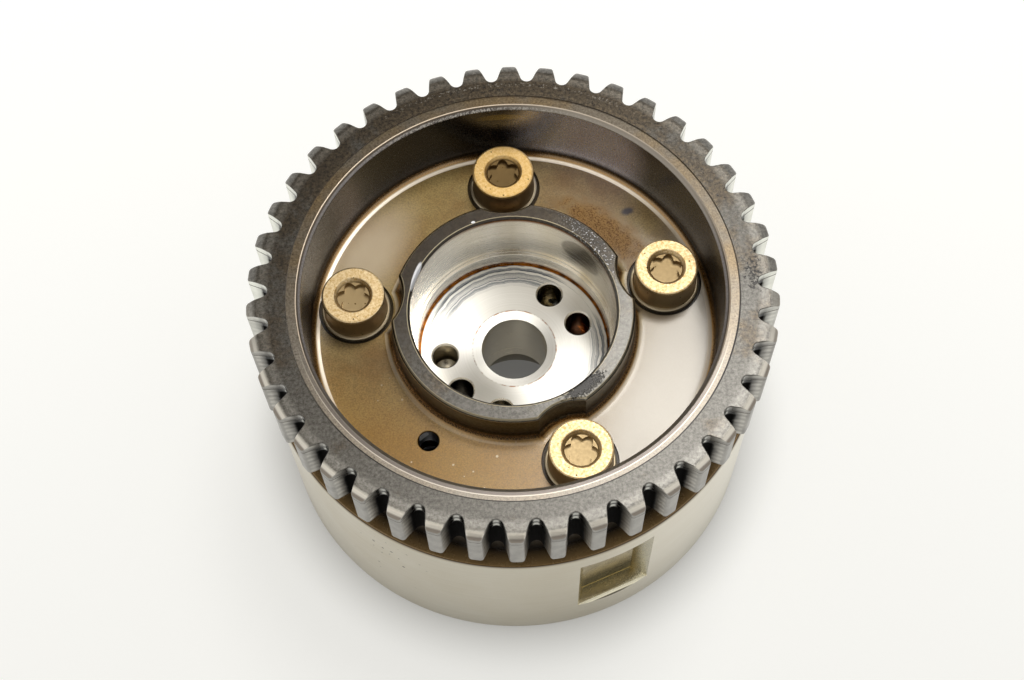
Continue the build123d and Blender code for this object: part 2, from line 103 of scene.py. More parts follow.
def srgb(code):
    """A linear colour from a sRGB hex code."""
    parts = [int(code[i:i + 2], 16) / 255 for i in (1, 3, 5)]
    linear = [p / 12.92 if p <= 0.04045 else ((p + 0.055) / 1.055) ** 2.4 for p in parts]
    return (*linear, 1.0)


def new_object(name, verts, faces):
    data = bpy.data.meshes.new(name)
    data.from_pydata([tuple(v) for v in verts], [], faces)
    made = bpy.data.objects.new(name, data)
    bpy.context.collection.objects.link(made)
    return made


table_half = 1.5
table = new_object(
    "table",
    [(x, y, 0) for x, y in ((-1, -1), (1, -1), (1, 1), (-1, 1))],
    [(0, 1, 2, 3)],
)
for vertex in table.data.vertices:
    vertex.co *= table_half
table_paint = bpy.data.materials.new("matt_white_table")
table_paint.use_nodes = True
tree = table_paint.node_tree
tree.nodes.clear()
path = add(tree, "ShaderNodeLightPath")
seen = add(tree, "ShaderNodeMath", {0: path.outputs["Is Camera Ray"], 1: path.outputs["Is Glossy Ray"]},
           operation="MAXIMUM")
seen = add(tree, "ShaderNodeMath", {0: seen, 1: path.outputs["Is Transmission Ray"]}, operation="MAXIMUM")
lit = add(tree, "ShaderNodeBsdfDiffuse", {"Color": srgb("#dededc")})
dim = add(tree, "ShaderNodeBsdfDiffuse", {"Color": srgb("#bfbfbd")})
spot = add(tree, "ShaderNodeTexCoord").outputs["Object"]
depth = add(tree, "ShaderNodeSeparateXYZ", {0: spot})
# The glow is weaker towards the front. Under and round the part's foot it is taken down as a painted contact
# shadow.
level = add(tree, "ShaderNodeMapRange", {0: depth.outputs["Y"], 1: -0.12, 2: 0.15, 3: 0.46, 4: 0.68})
under = add(tree, "ShaderNodeVectorMath", {0: spot}, operation="LENGTH")
beyond_painted_contact_shade = add(tree, "ShaderNodeMapRange", {0: under.outputs["Value"], 1: 0.036, 2: 0.052, 3: 0.17},
               interpolation_type="SMOOTHSTEP")
level = add(tree, "ShaderNodeMath", {0: level, 1: beyond_painted_contact_shade}, operation="MULTIPLY")
glow = add(tree, "ShaderNodeEmission", {"Color": srgb("#fbfbf8"), "Strength": level})
shown = add(tree, "ShaderNodeAddShader", {0: dim, 1: glow})
mix = add(tree, "ShaderNodeMixShader", {0: seen, 1: lit, 2: shown})
add(tree, "ShaderNodeOutputMaterial", {"Surface": mix})
table.data.materials.append(table_paint)

world = bpy.data.worlds.new("studio")
world.use_nodes = True
tree = world.node_tree
tree.nodes.clear()
toward = add(tree, "ShaderNodeTexCoord").outputs["Generated"]
room = srgb("#f4f3f0")
for direction, start, end, tone in (
    ((-0.10, 0.50, 0.86), 34, 15, "#7d7466"),
    ((0.0, -0.46, 0.89), 20, 8, "#4e4943"),
):
    nearness = add(tree, "ShaderNodeVectorMath", {0: toward, 1: direction}, operation="DOT_PRODUCT")
    share = add(tree, "ShaderNodeMapRange",
                {0: nearness.outputs["Value"], 1: cos(radians(start)), 2: cos(radians(end))},
                interpolation_type="SMOOTHSTEP")
    room = add(tree, "ShaderNodeMixRGB", {0: share, 1: room, 2: srgb(tone)})
sky = add(tree, "ShaderNodeBackground", {"Color": room, "Strength": 0.75})
add(tree, "ShaderNodeOutputWorld", {"Surface": sky})
bpy.context.scene.world = world


def soft_lamp(name, place, aim, size, watts, colour):
    data = bpy.data.lights.new(name, "AREA")
    data.shape = "RECTANGLE"
    data.size, data.size_y = size
    data.energy = watts
    data.color = srgb(colour)[:3]
    lamp = bpy.data.objects.new(name, data)
    bpy.context.collection.objects.link(lamp)
    lamp.location = place
    lamp.rotation_euler = (Vector(aim) - Vector(place)).to_track_quat("-Z", "Y").to_euler()


soft_lamp("main", (0.165, 0.27, 0.85), (0, 0, 0.03), (0.27, 0.28), 2.0, "#fffefb")
soft_lamp("zenith", (-0.09, 0.03, 0.87), (0, 0, 0.03), (0.42, 0.32), 0.6, "#fffaf0")
bpy.context.scene.view_settings.view_transform = "Standard"


# Sprocket
# One piece of sintered steel, pressed and then turned on its top, cup and bore. 42 silent
# chain teeth stand round a deep cup, and a notched collar guides the nose of the camshaft.
sprocket_low, sprocket_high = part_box("sprocket")
top_z = sprocket_high.z / mm
plate_bottom = sprocket_low.z / mm
tooth_count = 42
first_tooth_angle = 89.0
tip_radius = 42.62
tooth_depth = 3.4
root_radius = tip_radius - tooth_depth
root_round = 1.1
flank_angle = radians(22)
tip_corner_round = 0.6
tooth_width = 10.3
tip_bevel_reach = 1.5
tip_bevel_drop = 0.7
tip_bevel_crown = 0.12
edge_round = 0.14
foot_round = 0.32
parting_drop = 1.6
parting_width = 0.09
parting_depth = 0.06
ring_radius = 38.0
neck_radius = 38.6
spigot_radius = 36.5
shoulder_z = 34.1
band_radius = 36.25
band_depth = 0.3
recess_radius = 34.0
recess_chamfer = 0.7
floor_z = 35.6
floor_round = 1.6
collar_top = 41.9
collar_radius = 20.1
collar_bevel = 0.45
bore_radius = 17.0
bore_chamfer = 0.4
bore_lip = bore_radius + bore_chamfer
ledge_z = 30.2
lower_bore_radius = 16.4
bolt_angles = (15.5, 91.9, 171.6, 291.9)
bolt_circle = 26.7
notch_radius = 8.15
bolt_hole_radius = 3.25
spotface_radius = 6.3
seat_z = 35.2
vent_angle = 234.5
vent_circle = 24.9
vent_radius = 1.65
bush_radius = 5.0
bush_height = 5.0
half_pitch = pi / tooth_count


def bevel_z(radius):
    """Height of the sprocket's top at a radius: flat, then a crowned bevel over the tips."""
    share = np.clip((radius - (tip_radius - tip_bevel_reach)) / tip_bevel_reach, 0, 1)
    return top_z - tip_bevel_drop * share + 4 * tip_bevel_crown * share * (1 - share)


def half_gap(inset):
    """Half of a gap's outline, from the middle of its root to the middle of the next tooth.

    The gap opens along +X. The outline is moved into the tooth by inset.
    """
    uphill = np.array([cos(flank_angle), sin(flank_angle)])
    across = np.array([-sin(flank_angle), cos(flank_angle)])
    centre = np.array([root_radius + root_round, 0.0])
    start = centre + (root_round + tip_corner_round) * across
    reach = tip_radius - tip_corner_round
    half = start @ uphill
    corner = start + (-half + sqrt(half * half - start @ start + reach * reach)) * uphill
    points = []
    for turn in np.linspace(pi, pi / 2 + flank_angle, 7):
        points.append(centre + (root_round + inset) * np.array([cos(turn), sin(turn)]))
    flank_start = points[-1]
    flank_end = corner - (tip_corner_round - inset) * across
    bevel_start = tip_radius - tip_bevel_reach
    step = flank_start @ uphill
    bend = -step + sqrt(step * step - flank_start @ flank_start + bevel_start ** 2)
    length = np.linalg.norm(flank_end - flank_start)
    for share in (0.5, 1.0, 1.0 + 0.5 * (length - bend) / bend, length / bend):
        points.append(flank_start + share * bend * uphill)
    last_turn = atan2(corner[1], corner[0])
    for turn in np.linspace(flank_angle - pi / 2, last_turn, 5)[1:]:
        points.append(corner + (tip_corner_round - inset) * np.array([cos(turn), sin(turn)]))
    tip = points[-1]
    for turn in np.linspace(atan2(tip[1], tip[0]), half_pitch, 6)[1:]:
        points.append(hypot(*tip) * np.array([cos(turn), sin(turn)]))
    return np.array(points)


def grid_faces(rows, columns, closed=False, first=0):
    """Quads of a grid of points stored row by row."""
    faces = []
    for row in range(rows - 1):
        for column in range(columns if closed else columns - 1):
            following = (column + 1) % columns
            a, b = first + row * columns + column, first + row * columns + following
            faces.append((a, b, b + columns, a + columns))
    return faces


# One pitch of the toothed rim: a gap with half a tooth on each side of it
root_steps, tip_steps = 7, 5
outline = half_gap(edge_round)
gap_angles = [atan2(y, x) for x, y in outline[:root_steps]]
land_angles = list(np.linspace(gap_angles[-1], half_pitch, tip_steps + 1)[1:])
side_angles = np.array(gap_angles + land_angles)
column_angles = np.concatenate([-side_angles[:0:-1], side_angles])


def level_part(inset, inner_radius, height):
    """The flat side of one pitch, from a circle to the outline, as vertices and faces."""
    outline = half_gap(inset)
    verts, faces = [], []
    angles = np.array([atan2(y, x) for x, y in outline])
    radii = np.hypot(outline[:, 0], outline[:, 1])
    shares = np.linspace(0, 1, tip_steps + 1)
    start = angles[root_steps - 1]
    edge = list(zip(radii[:root_steps], angles[:root_steps]))
    edge += [(radii[root_steps - 1], start + (half_pitch - start) * share) for share in shares[1:]]
    middle = inner_radius + 0.9 * (radii[0] - inner_radius)
    for side in (1, -1):
        rows = [[(radius, turn) for turn in side_angles] for radius in (inner_radius, middle)]
        rows.append(edge)
        first = len(verts)
        verts += [(r * cos(a), side * r * sin(a), height(r)) for row in rows for r, a in row]
        faces += grid_faces(3, len(side_angles), first=first)
        land = []
        for radius, start in list(zip(radii, angles))[root_steps - 1:-tip_steps]:
            land.append([(radius, start + (half_pitch - start) * share) for share in shares])
        first = len(verts)
        verts += [(r * cos(a), side * r * sin(a), height(r)) for row in land for r, a in row]
        faces += grid_faces(len(land), tip_steps + 1, first=first)
    return verts, faces


def wall_part(levels):
    """The upright side of one pitch: the outline at each pair of inset and height."""
    verts = []
    for inset, height in levels:
        half = half_gap(inset)
        whole = np.concatenate([half[:0:-1] * (1, -1), half])
        verts += [(x, y, height(hypot(x, y))) for x, y in whole]
    count = len(half_gap(0.0)) * 2 - 1
    return verts, grid_faces(len(levels), count)


def fixed(height):
    return lambda radius: height


foot_z = top_z - tooth_width
parting_z = top_z - parting_drop
levels = [(edge_round, bevel_z)]
levels.append((edge_round * 0.3, lambda radius: bevel_z(radius) - edge_round * 0.3))
levels.append((0.0, lambda radius: bevel_z(radius) - edge_round))
levels += [(0.0, fixed(parting_z + parting_width)), (parting_depth, fixed(parting_z + parting_width / 3))]
levels += [(parting_depth, fixed(parting_z - parting_width / 3)), (0.0, fixed(parting_z - parting_width))]
levels += [(0.0, fixed(foot_z + drop)) for drop in (6.0, 4.0, 2.0)]
levels += [(0.0, fixed(foot_z + foot_round)), (foot_round * 0.3, fixed(foot_z + foot_round * 0.3))]
levels.append((foot_round, fixed(foot_z)))
pitch_verts, pitch_faces = [], []
for verts, faces in (
    level_part(edge_round, ring_radius, bevel_z),
    wall_part(levels),
    level_part(foot_round, neck_radius, fixed(foot_z)),
):
    pitch_faces += [tuple(len(pitch_verts) + index for index in face) for face in faces]
    pitch_verts += verts
rim = new_object("rim_pitch", np.array(pitch_verts) * mm, pitch_faces)

# The turned body inside the rim, as rings of points with the rim's own angles
ring_angles = []
for tooth in range(tooth_count):
    middle = radians(first_tooth_angle) + (2 * tooth + 1) * half_pitch
    ring_angles += [middle + turn for turn in column_angles[:-1]]
ring_angles = np.array(ring_angles)


def collar_outline(offset):
    """Radius of the notched collar at each ring angle, moved outwards by offset."""
    radius = np.full(len(ring_angles), collar_radius + offset)
    for angle in bolt_angles:
        swing = ring_angles - radians(angle)
        side = bolt_circle * np.sin(swing)
        reach = (notch_radius - offset) ** 2 - side ** 2
        near = bolt_circle * np.cos(swing) - np.sqrt(np.maximum(reach, 0))
        inside = (reach > 0) & (np.cos(swing) > 0)
        radius = np.where(inside, np.minimum(radius, near), radius)
    return radius


quarter = np.linspace(0, pi / 2, 8)
rings = [(ring_radius, top_z), (37.0, top_z), (band_radius + 0.05, top_z), (band_radius, top_z - 0.05)]
rings += [(band_radius, top_z - band_depth + 0.05), (band_radius - 0.05, top_z - band_depth)]
chamfer_top = recess_radius + recess_chamfer
rings += [(chamfer_top + 0.08, top_z - band_depth), (chamfer_top - 0.05, top_z - band_depth - 0.05)]
chamfer_foot = top_z - band_depth - recess_chamfer
rings += [(recess_radius + 0.05, chamfer_foot + 0.05), (recess_radius, chamfer_foot - 0.08)]
rings += [(recess_radius, height) for height in (47.0, 44.5, 42.0, 39.5)]
fillet_height = floor_z + floor_round
rings += [
    (recess_radius - floor_round * (1 - cos(turn)), fillet_height - floor_round * sin(turn))
    for turn in quarter
]
rings.append((recess_radius - floor_round - 0.6, floor_z))
body_rows = [(np.full(len(ring_angles), radius), height) for radius, height in rings]
body_rows.append(((collar_outline(floor_round) + recess_radius - floor_round) / 2, floor_z))
body_rows.append((collar_outline(floor_round) + 0.4, floor_z))
for turn in quarter:
    offset = floor_round * (1 - sin(turn))
    body_rows.append((collar_outline(offset), fillet_height - floor_round * cos(turn)))
bevel_foot = collar_top - collar_bevel
body_rows += [(collar_outline(0.0), 39.5), (collar_outline(0.0), bevel_foot - 0.06)]
body_rows += [(collar_outline(-0.05), bevel_foot + 0.05)]
body_rows += [(collar_outline(0.05 - collar_bevel), collar_top - 0.05)]
body_rows += [(collar_outline(-0.06 - collar_bevel), collar_top)]
lip_foot = collar_top - bore_chamfer
inner = [(bore_lip + 0.06, collar_top), (bore_lip - 0.05, collar_top - 0.05)]
inner += [(bore_radius + 0.05, lip_foot + 0.05), (bore_radius, lip_foot - 0.06)]
inner += [(bore_radius, height) for height in (38.0, 34.0, ledge_z + 0.06)]
inner.append((bore_radius - 0.06, ledge_z))
inner += [(lower_bore_radius + 0.06, ledge_z), (lower_bore_radius, ledge_z - 0.06)]
inner += [(lower_bore_radius, plate_bottom), (spigot_radius - 0.1, plate_bottom)]
inner += [(spigot_radius, plate_bottom + 0.1), (spigot_radius, shoulder_z)]
inner += [(neck_radius, shoulder_z), (neck_radius, foot_z)]
body_rows += [(np.full(len(ring_angles), radius), height) for radius, height in inner]
body_verts = []
for radius, height in body_rows:
    ring = np.stack([radius * np.cos(ring_angles), radius * np.sin(ring_angles)], axis=-1)
    body_verts += [(x, y, height) for x, y in ring]
body_faces = grid_faces(len(body_rows), len(ring_angles), closed=True)
cup = new_object("cup", np.array(body_verts) * mm, body_faces)


def input_of(tree, name):
    """Identifier of a tree's input, which is how a modifier's value is set."""
    return next(item.identifier for item in tree.interface.items_tree if item.name == name)


def new_tree(name, inputs):
    """An empty geometry tree with named inputs, and its input and output nodes."""
    tree = bpy.data.node_groups.new(name, "GeometryNodeTree")
    tree.interface.new_socket("Geometry", in_out="INPUT", socket_type="NodeSocketGeometry")
    for label, kind in inputs:
        tree.interface.new_socket(label, in_out="INPUT", socket_type=kind)
    tree.interface.new_socket("Geometry", in_out="OUTPUT", socket_type="NodeSocketGeometry")
    return tree, tree.nodes.new("NodeGroupInput")


def grown(base, tree, values, name):
    """The mesh that a geometry tree makes on the base object, as an object of its own."""
    maker = base.modifiers.new(name, "NODES")
    maker.node_group = tree
    for label, value in values.items():
        maker[input_of(tree, label)] = value
    graph = bpy.context.evaluated_depsgraph_get()
    data = bpy.data.meshes.new_from_object(base.evaluated_get(graph))
    base.modifiers.remove(maker)
    bpy.data.objects.remove(base)
    data.name = name
    made = bpy.data.objects.new(name, data)
    bpy.context.collection.objects.link(made)
    return made


def new_paint(name):
    """A material and its empty tree."""
    paint = bpy.data.materials.new(name)
    paint.use_nodes = True
    paint.node_tree.nodes.clear()
    return paint, paint.node_tree


sintered, steel_tree = new_paint("steam_treated_sintered_steel")
tree, given = new_tree("toothed_sprocket", (
    ("Teeth", "NodeSocketInt"),
    ("First gap angle", "NodeSocketFloat"),
    ("Cup", "NodeSocketObject"),
    ("Weld distance", "NodeSocketFloat"),
    ("Steel", "NodeSocketMaterial"),
))
row = add(tree, "GeometryNodeMeshLine", {"Count": given.outputs["Teeth"], "Offset": (0, 0, 0)})
number = add(tree, "GeometryNodeInputIndex")
pitch = add(tree, "ShaderNodeMath", {0: 2 * pi, 1: given.outputs["Teeth"]}, operation="DIVIDE")
swing = add(tree, "ShaderNodeMath", {0: number, 1: pitch}, operation="MULTIPLY")
swing = add(tree, "ShaderNodeMath", {0: swing, 1: given.outputs["First gap angle"]}, operation="ADD")
swing = add(tree, "ShaderNodeCombineXYZ", {"Z": swing})
copies = add(tree, "GeometryNodeInstanceOnPoints",
             {"Points": row, "Instance": given.outputs["Geometry"], "Rotation": swing})
inside = add(tree, "GeometryNodeObjectInfo", {"Object": given.outputs["Cup"]})
real = add(tree, "GeometryNodeRealizeInstances", {0: copies})
joined = add(tree, "GeometryNodeJoinGeometry", {"Geometry": real})
tree.links.new(inside.outputs["Geometry"], joined.inputs[0])
welded = add(tree, "GeometryNodeMergeByDistance",
             {"Geometry": joined, "Distance": given.outputs["Weld distance"]})
whole = add(tree, "GeometryNodeSetMaterial", {"Geometry": welded, "Material": given.outputs["Steel"]})
add(tree, "NodeGroupOutput", {0: whole})
sprocket = grown(rim, tree, {
    "Teeth": tooth_count,
    "First gap angle": radians(first_tooth_angle) + half_pitch,
    "Cup": cup,
    "Weld distance": 0.004 * mm,
    "Steel": sintered,
}, "sprocket_steel")
bpy.data.objects.remove(cup)


def face_outwards(made, sharp=20):
    """Welds a mesh's doubles, points its faces outwards and keeps only real edges sharp."""
    work = bmesh.new()
    work.from_mesh(made.data)
    bmesh.ops.remove_doubles(work, verts=work.verts, dist=0.002 * mm)
    bmesh.ops.recalc_face_normals(work, faces=work.faces)
    work.to_mesh(made.data)
    work.free()
    made.data.shade_smooth()
    made.data.set_sharp_from_angle(angle=radians(sharp))


def lathe(name, profile, place=(0, 0), segments=96):
    """A turned piece from (radius, height) points, closed on its axis where it meets it."""
    turns = np.linspace(0, 2 * pi, segments, endpoint=False)
    verts = []
    for radius, height in profile:
        for turn in turns:
            verts.append((place[0] + radius * cos(turn), place[1] + radius * sin(turn), height))
    rows = len(profile)
    faces = grid_faces(rows, segments, closed=True)
    if profile[0] == profile[-1]:
        verts = verts[:(rows - 1) * segments]
        faces = [tuple(index % len(verts) for index in face) for face in faces]
    made = new_object(name, np.array(verts) * mm, faces)
    work = bmesh.new()
    work.from_mesh(made.data)
    bmesh.ops.remove_doubles(work, verts=work.verts, dist=0.002 * mm)
    bmesh.ops.dissolve_degenerate(work, dist=0.001 * mm, edges=work.edges)
    bmesh.ops.recalc_face_normals(work, faces=work.faces)
    work.to_mesh(made.data)
    work.free()
    return made


def cut_from(made, cutters, solver="MANIFOLD"):
    """Takes the cutters out of a piece, for good."""
    for cutter in cutters:
        saw = made.modifiers.new(cutter.name, "BOOLEAN")
        saw.operation = "DIFFERENCE"
        saw.solver = solver
        saw.object = cutter
    graph = bpy.context.evaluated_depsgraph_get()
    data = bpy.data.meshes.new_from_object(made.evaluated_get(graph))
    made.modifiers.clear()
    made.data = data
    for cutter in cutters:
        bpy.data.objects.remove(cutter)


def around(radius, angle):
    return (radius * cos(radians(angle)), radius * sin(radians(angle)))


face_outwards(sprocket)
past = 1.0
holes = []
for angle in bolt_angles:
    holes.append(lathe("bolt_hole", (
        (0, plate_bottom - past), (bolt_hole_radius, plate_bottom - past), (bolt_hole_radius, seat_z),
        (spotface_radius - 0.08, seat_z), (spotface_radius, seat_z + 0.08),
        (spotface_radius, fillet_height), (0, fillet_height),
    ), around(bolt_circle, angle)))
bush_top = plate_bottom + bush_height
holes.append(lathe("vent_hole", (
    (0, plate_bottom - past), (bush_radius, plate_bottom - past), (bush_radius, bush_top),
    (vent_radius, bush_top), (vent_radius, floor_z - 0.18), (vent_radius + 0.18 + past, floor_z + past),
    (0, floor_z + past),
), around(vent_circle, vent_angle), 64))
cut_from(sprocket, holes)
face_outwards(sprocket)


def measured(tree):
    """Place on a piece in mm: the vector, the distance from the axis and the height."""
    coords = add(tree, "ShaderNodeTexCoord").outputs["Object"]
    place = add(tree, "ShaderNodeVectorMath", {0: coords, "Scale": 1 / mm}, operation="SCALE")
    flat = add(tree, "ShaderNodeVectorMath", {0: place, 1: (1, 1, 0)}, operation="MULTIPLY")
    radius = add(tree, "ShaderNodeVectorMath", {0: flat}, operation="LENGTH").outputs["Value"]
    height = add(tree, "ShaderNodeSeparateXYZ", {0: place}).outputs["Z"]
    return place, radius, height


def along(tree, place, x, y):
    """How far a place lies along a level direction, in mm."""
    reach = add(tree, "ShaderNodeVectorMath", {0: place, 1: (x, y, 0)}, operation="DOT_PRODUCT")
    return reach.outputs["Value"]


def between(tree, value, low=-1000.0, high=1000.0):
    """1 where a value lies between two limits, 0 outside them."""
    half = (high - low) / 2
    return add(tree, "ShaderNodeMath", {0: value, 1: low + half, 2: half}, operation="COMPARE")


def together(tree, *masks, operation="MULTIPLY"):
    """Masks and numbers as one: their product, or what another operation makes of them.

    A mask given as (value, start, end) rises from 0 to 1 between start and end of the value.
    Two more numbers in it are the levels that it goes between instead.
    """
    whole = None
    for mask in masks:
        if isinstance(mask, tuple):
            mask = add(tree, "ShaderNodeMapRange", dict(enumerate(mask)))
        if whole is not None:
            mask = add(tree, "ShaderNodeMath", {0: whole, 1: mask}, operation=operation)
        whole = mask
    return whole


def coated(tree, colour, *coats):
    """Lays coats over a colour in turn. A coat is its tone and the masks where it shows."""
    for tone, *masks in coats:
        layers = {1: colour, 2: tone}
        for key, layer in layers.items():
            layers[key] = srgb(layer) if isinstance(layer, str) else layer
        colour = add(tree, "ShaderNodeMixRGB", {0: together(tree, *masks), **layers})
    return colour


def skin(tree, colour, rough, relief=(), varnish=(), turned=0.0, values=()):
    """Ends a material's tree with its surface, a metal unless the values say otherwise.

    Rough is a level or a mask. Relief is dents as (wave, strength, depth in mm), one on the
    other, and a negative depth turns them inside out. Varnish is a clear coat's weight, IOR
    and roughness. Turned is how far the rings from the lathe stretch the gloss.
    """
    inputs = {"Metallic": 1.0, "Base Color": colour, "Roughness": together(tree, rough)}
    for wave, strength, depth in relief:
        dents = {"Height": wave, "Strength": strength, "Distance": abs(depth) * mm}
        if "Normal" in inputs:
            dents["Normal"] = inputs["Normal"]
        inputs["Normal"] = add(tree, "ShaderNodeBump", dents, invert=depth < 0)
    if varnish:
        inputs.update(zip(("Coat Weight", "Coat IOR", "Coat Roughness"), varnish))
        inputs["Coat Normal"] = inputs["Normal"]
    if turned:
        inputs.update({"Anisotropic": turned, "Anisotropic Rotation": 0.25})
        inputs["Tangent"] = add(tree, "ShaderNodeTangent", direction_type="RADIAL", axis="Z")
    inputs.update(values)
    surface = add(tree, "ShaderNodeBsdfPrincipled", inputs)
    add(tree, "ShaderNodeOutputMaterial", {"Surface": surface})


def streaked(tree, place, waves, detail, rough=0.5):
    """Noise that is drawn out by the number of its waves per mm along X, Y and Z."""
    drawn = add(tree, "ShaderNodeVectorMath", {0: place, 1: waves}, operation="MULTIPLY")
    return add(tree, "ShaderNodeTexNoise",
               {"Vector": drawn, "Scale": 1.0, "Detail": detail, "Roughness": rough})


def stain(tree, place, centre, size, turn=0.0, edge=0.3, ragged=0.0):
    """1 in an oval spot, 0 outside. Half sizes in mm, turned round Z, with a ragged edge."""
    away = add(tree, "ShaderNodeVectorMath", {0: place, 1: centre}, operation="SUBTRACT")
    away = add(tree, "ShaderNodeVectorRotate", {"Vector": away, "Angle": -radians(turn)},
               rotation_type="Z_AXIS")
    away = add(tree, "ShaderNodeVectorMath", {0: away, 1: size}, operation="DIVIDE")
    reach = add(tree, "ShaderNodeVectorMath", {0: away}, operation="LENGTH").outputs["Value"]
    tear = add(tree, "ShaderNodeTexNoise", {"Vector": place, "Scale": 1.6 / min(size), "Detail": 6.0})
    reach = add(tree, "ShaderNodeMath", {0: tear, 1: ragged, 2: reach}, operation="MULTIPLY_ADD")
    edges = {1: 1 + ragged / 2 + edge, 2: 1 + ragged / 2 - edge}
    return add(tree, "ShaderNodeMapRange", {0: reach, **edges}, interpolation_type="SMOOTHSTEP")


def specks(tree, place, spacing, reach):
    """1 in scattered dots of up to reach mm, about one in each cell of spacing mm."""
    cells = add(tree, "ShaderNodeTexVoronoi", {"Vector": place, "Scale": 1 / spacing})
    chance = add(tree, "ShaderNodeSeparateXYZ", {0: cells.outputs["Color"]})
    limit = add(tree, "ShaderNodeMath", {0: chance, 1: reach / spacing}, operation="MULTIPLY")
    return add(tree, "ShaderNodeMath", {0: cells.outputs["Distance"], 1: limit}, operation="LESS_THAN")


# Steam-treated sintered steel is dark and faintly porous, blue-grey where light falls on
# it and brown where oil has dried. Its 0.3 mm pores are drawn a little coarse to show.
tree = steel_tree
place, radius, height = measured(tree)
depth = along(tree, place, 0, 1)
pores = add(tree, "ShaderNodeTexNoise", {"Vector": place, "Scale": 1.8, "Detail": 8.0, "Roughness": 0.8})
patches = add(tree, "ShaderNodeTexNoise",
              {"Vector": place, "Scale": 0.14, "Detail": 6.0, "Roughness": 0.7})
patches = add(tree, "ShaderNodeMath", {0: depth, 1: 0.004, 2: patches}, operation="MULTIPLY_ADD")
oil = add(tree, "ShaderNodeMapRange", {0: patches, 1: 0.42, 2: 0.62}, interpolation_type="SMOOTHSTEP")
grain = together(tree, (pores, 0.4, 0.62))
steel = coated(tree, "#35322c", ("#6b6862", grain))
oily = coated(tree, "#211b14", ("#6f6049", grain))
pale = coated(tree, "#6d6a64", ("#a29f98", grain))
rim_middle = (band_radius + root_radius) / 2 + 0.6
worn_hollow = between(tree, radius, rim_middle - 1.3, rim_middle + 1.3)
# Painted shade: the rim is painted darker towards the left, in patches.
painted_shade_left = along(tree, place, -1.0, -0.25)
chip_radius = root_radius - 0.75
chip_limit = together(tree, (depth, 14.0, 34.0, 1.0, 0.57))
chips = add(tree, "ShaderNodeMath", {0: pores, 1: chip_limit}, operation="GREATER_THAN")
above = between(tree, height, top_z - 1.5)
front = add(tree, "ShaderNodeMapRange", {0: depth, 1: 2.0, 2: -16.0}, interpolation_type="SMOOTHSTEP")
front = together(tree, front, above)
facing = along(tree, place, 0.25, -0.97)

# Painted highlights run along the edges of the collar's bevel and bore, its far left is
# painted darker as painted shade, and its lamp side is painted lighter.
drop = add(tree, "ShaderNodeMath", {0: collar_top, 1: height}, operation="SUBTRACT")
upper_bevel_highlight = together(tree, drop, (depth, 3.0, -9.0, 0.1, 0.26), operation="LESS_THAN")
upper_bevel_highlight = together(tree, upper_bevel_highlight, between(tree, height, high=collar_top - 0.01))
lower_bevel_highlight = between(tree, height, bevel_foot - 0.055, bevel_foot + 0.055)
lines = together(tree, lower_bevel_highlight, upper_bevel_highlight, operation="MAXIMUM")
lines = together(tree, lines, between(tree, radius, bore_radius + 1.0))
bore_lip_highlight = between(tree, radius, bore_lip - 0.04, bore_lip + 0.08)
collar = between(tree, height, collar_top - 1.0)
lines = together(tree, lines, together(tree, bore_lip_highlight, collar), operation="MAXIMUM")
collar_face = together(tree, collar, between(tree, radius, high=collar_radius + 1.0))
collar_shade_side = along(tree, place, -0.6, 0.8)
lamp_side = along(tree, place, 0.9, -0.4)

# A nick in the rim, a gouge by the near bolt, and dust and slivers on the collar
nicked = stain(tree, place, (38.6, 0.8, top_z), (1.8, 3.4, 1.0), edge=0.5, ragged=0.5)
gouges = stain(tree, place, (10.9, -14.2, collar_top), (3.4, 1.3, 0.6), turn=36, edge=0.3, ragged=2.4)
sparse = add(tree, "ShaderNodeTexNoise", {"Vector": place, "Scale": 1.5, "Detail": 5.0, "Roughness": 0.75})
pits = together(tree, sparse, (nicked, 0, 1, 0.68, 0.52), operation="GREATER_THAN")
pits = together(tree, pits, gouges, operation="MAXIMUM")
dusty = stain(tree, place, (14.2, 11.0, collar_top), (2.0, 7.0, 0.4), turn=38, edge=0.6, ragged=1.2)
flakes = add(tree, "ShaderNodeTexNoise", {"Vector": place, "Scale": 3.6, "Detail": 3.0})
sliver = stain(tree, place, (-15.9, 6.5, collar_top), (0.55, 2.8, 0.5), turn=-17, edge=0.1, ragged=0.15)
fleck = stain(tree, place, (-6.2, 16.5, collar_top), (0.34, 0.24, 0.3), turn=18, edge=0.2, ragged=0.5)
dust = together(tree, (flakes, 0.61, 0.68), dusty)
dust = together(tree, dust, sliver, fleck, operation="MAXIMUM")
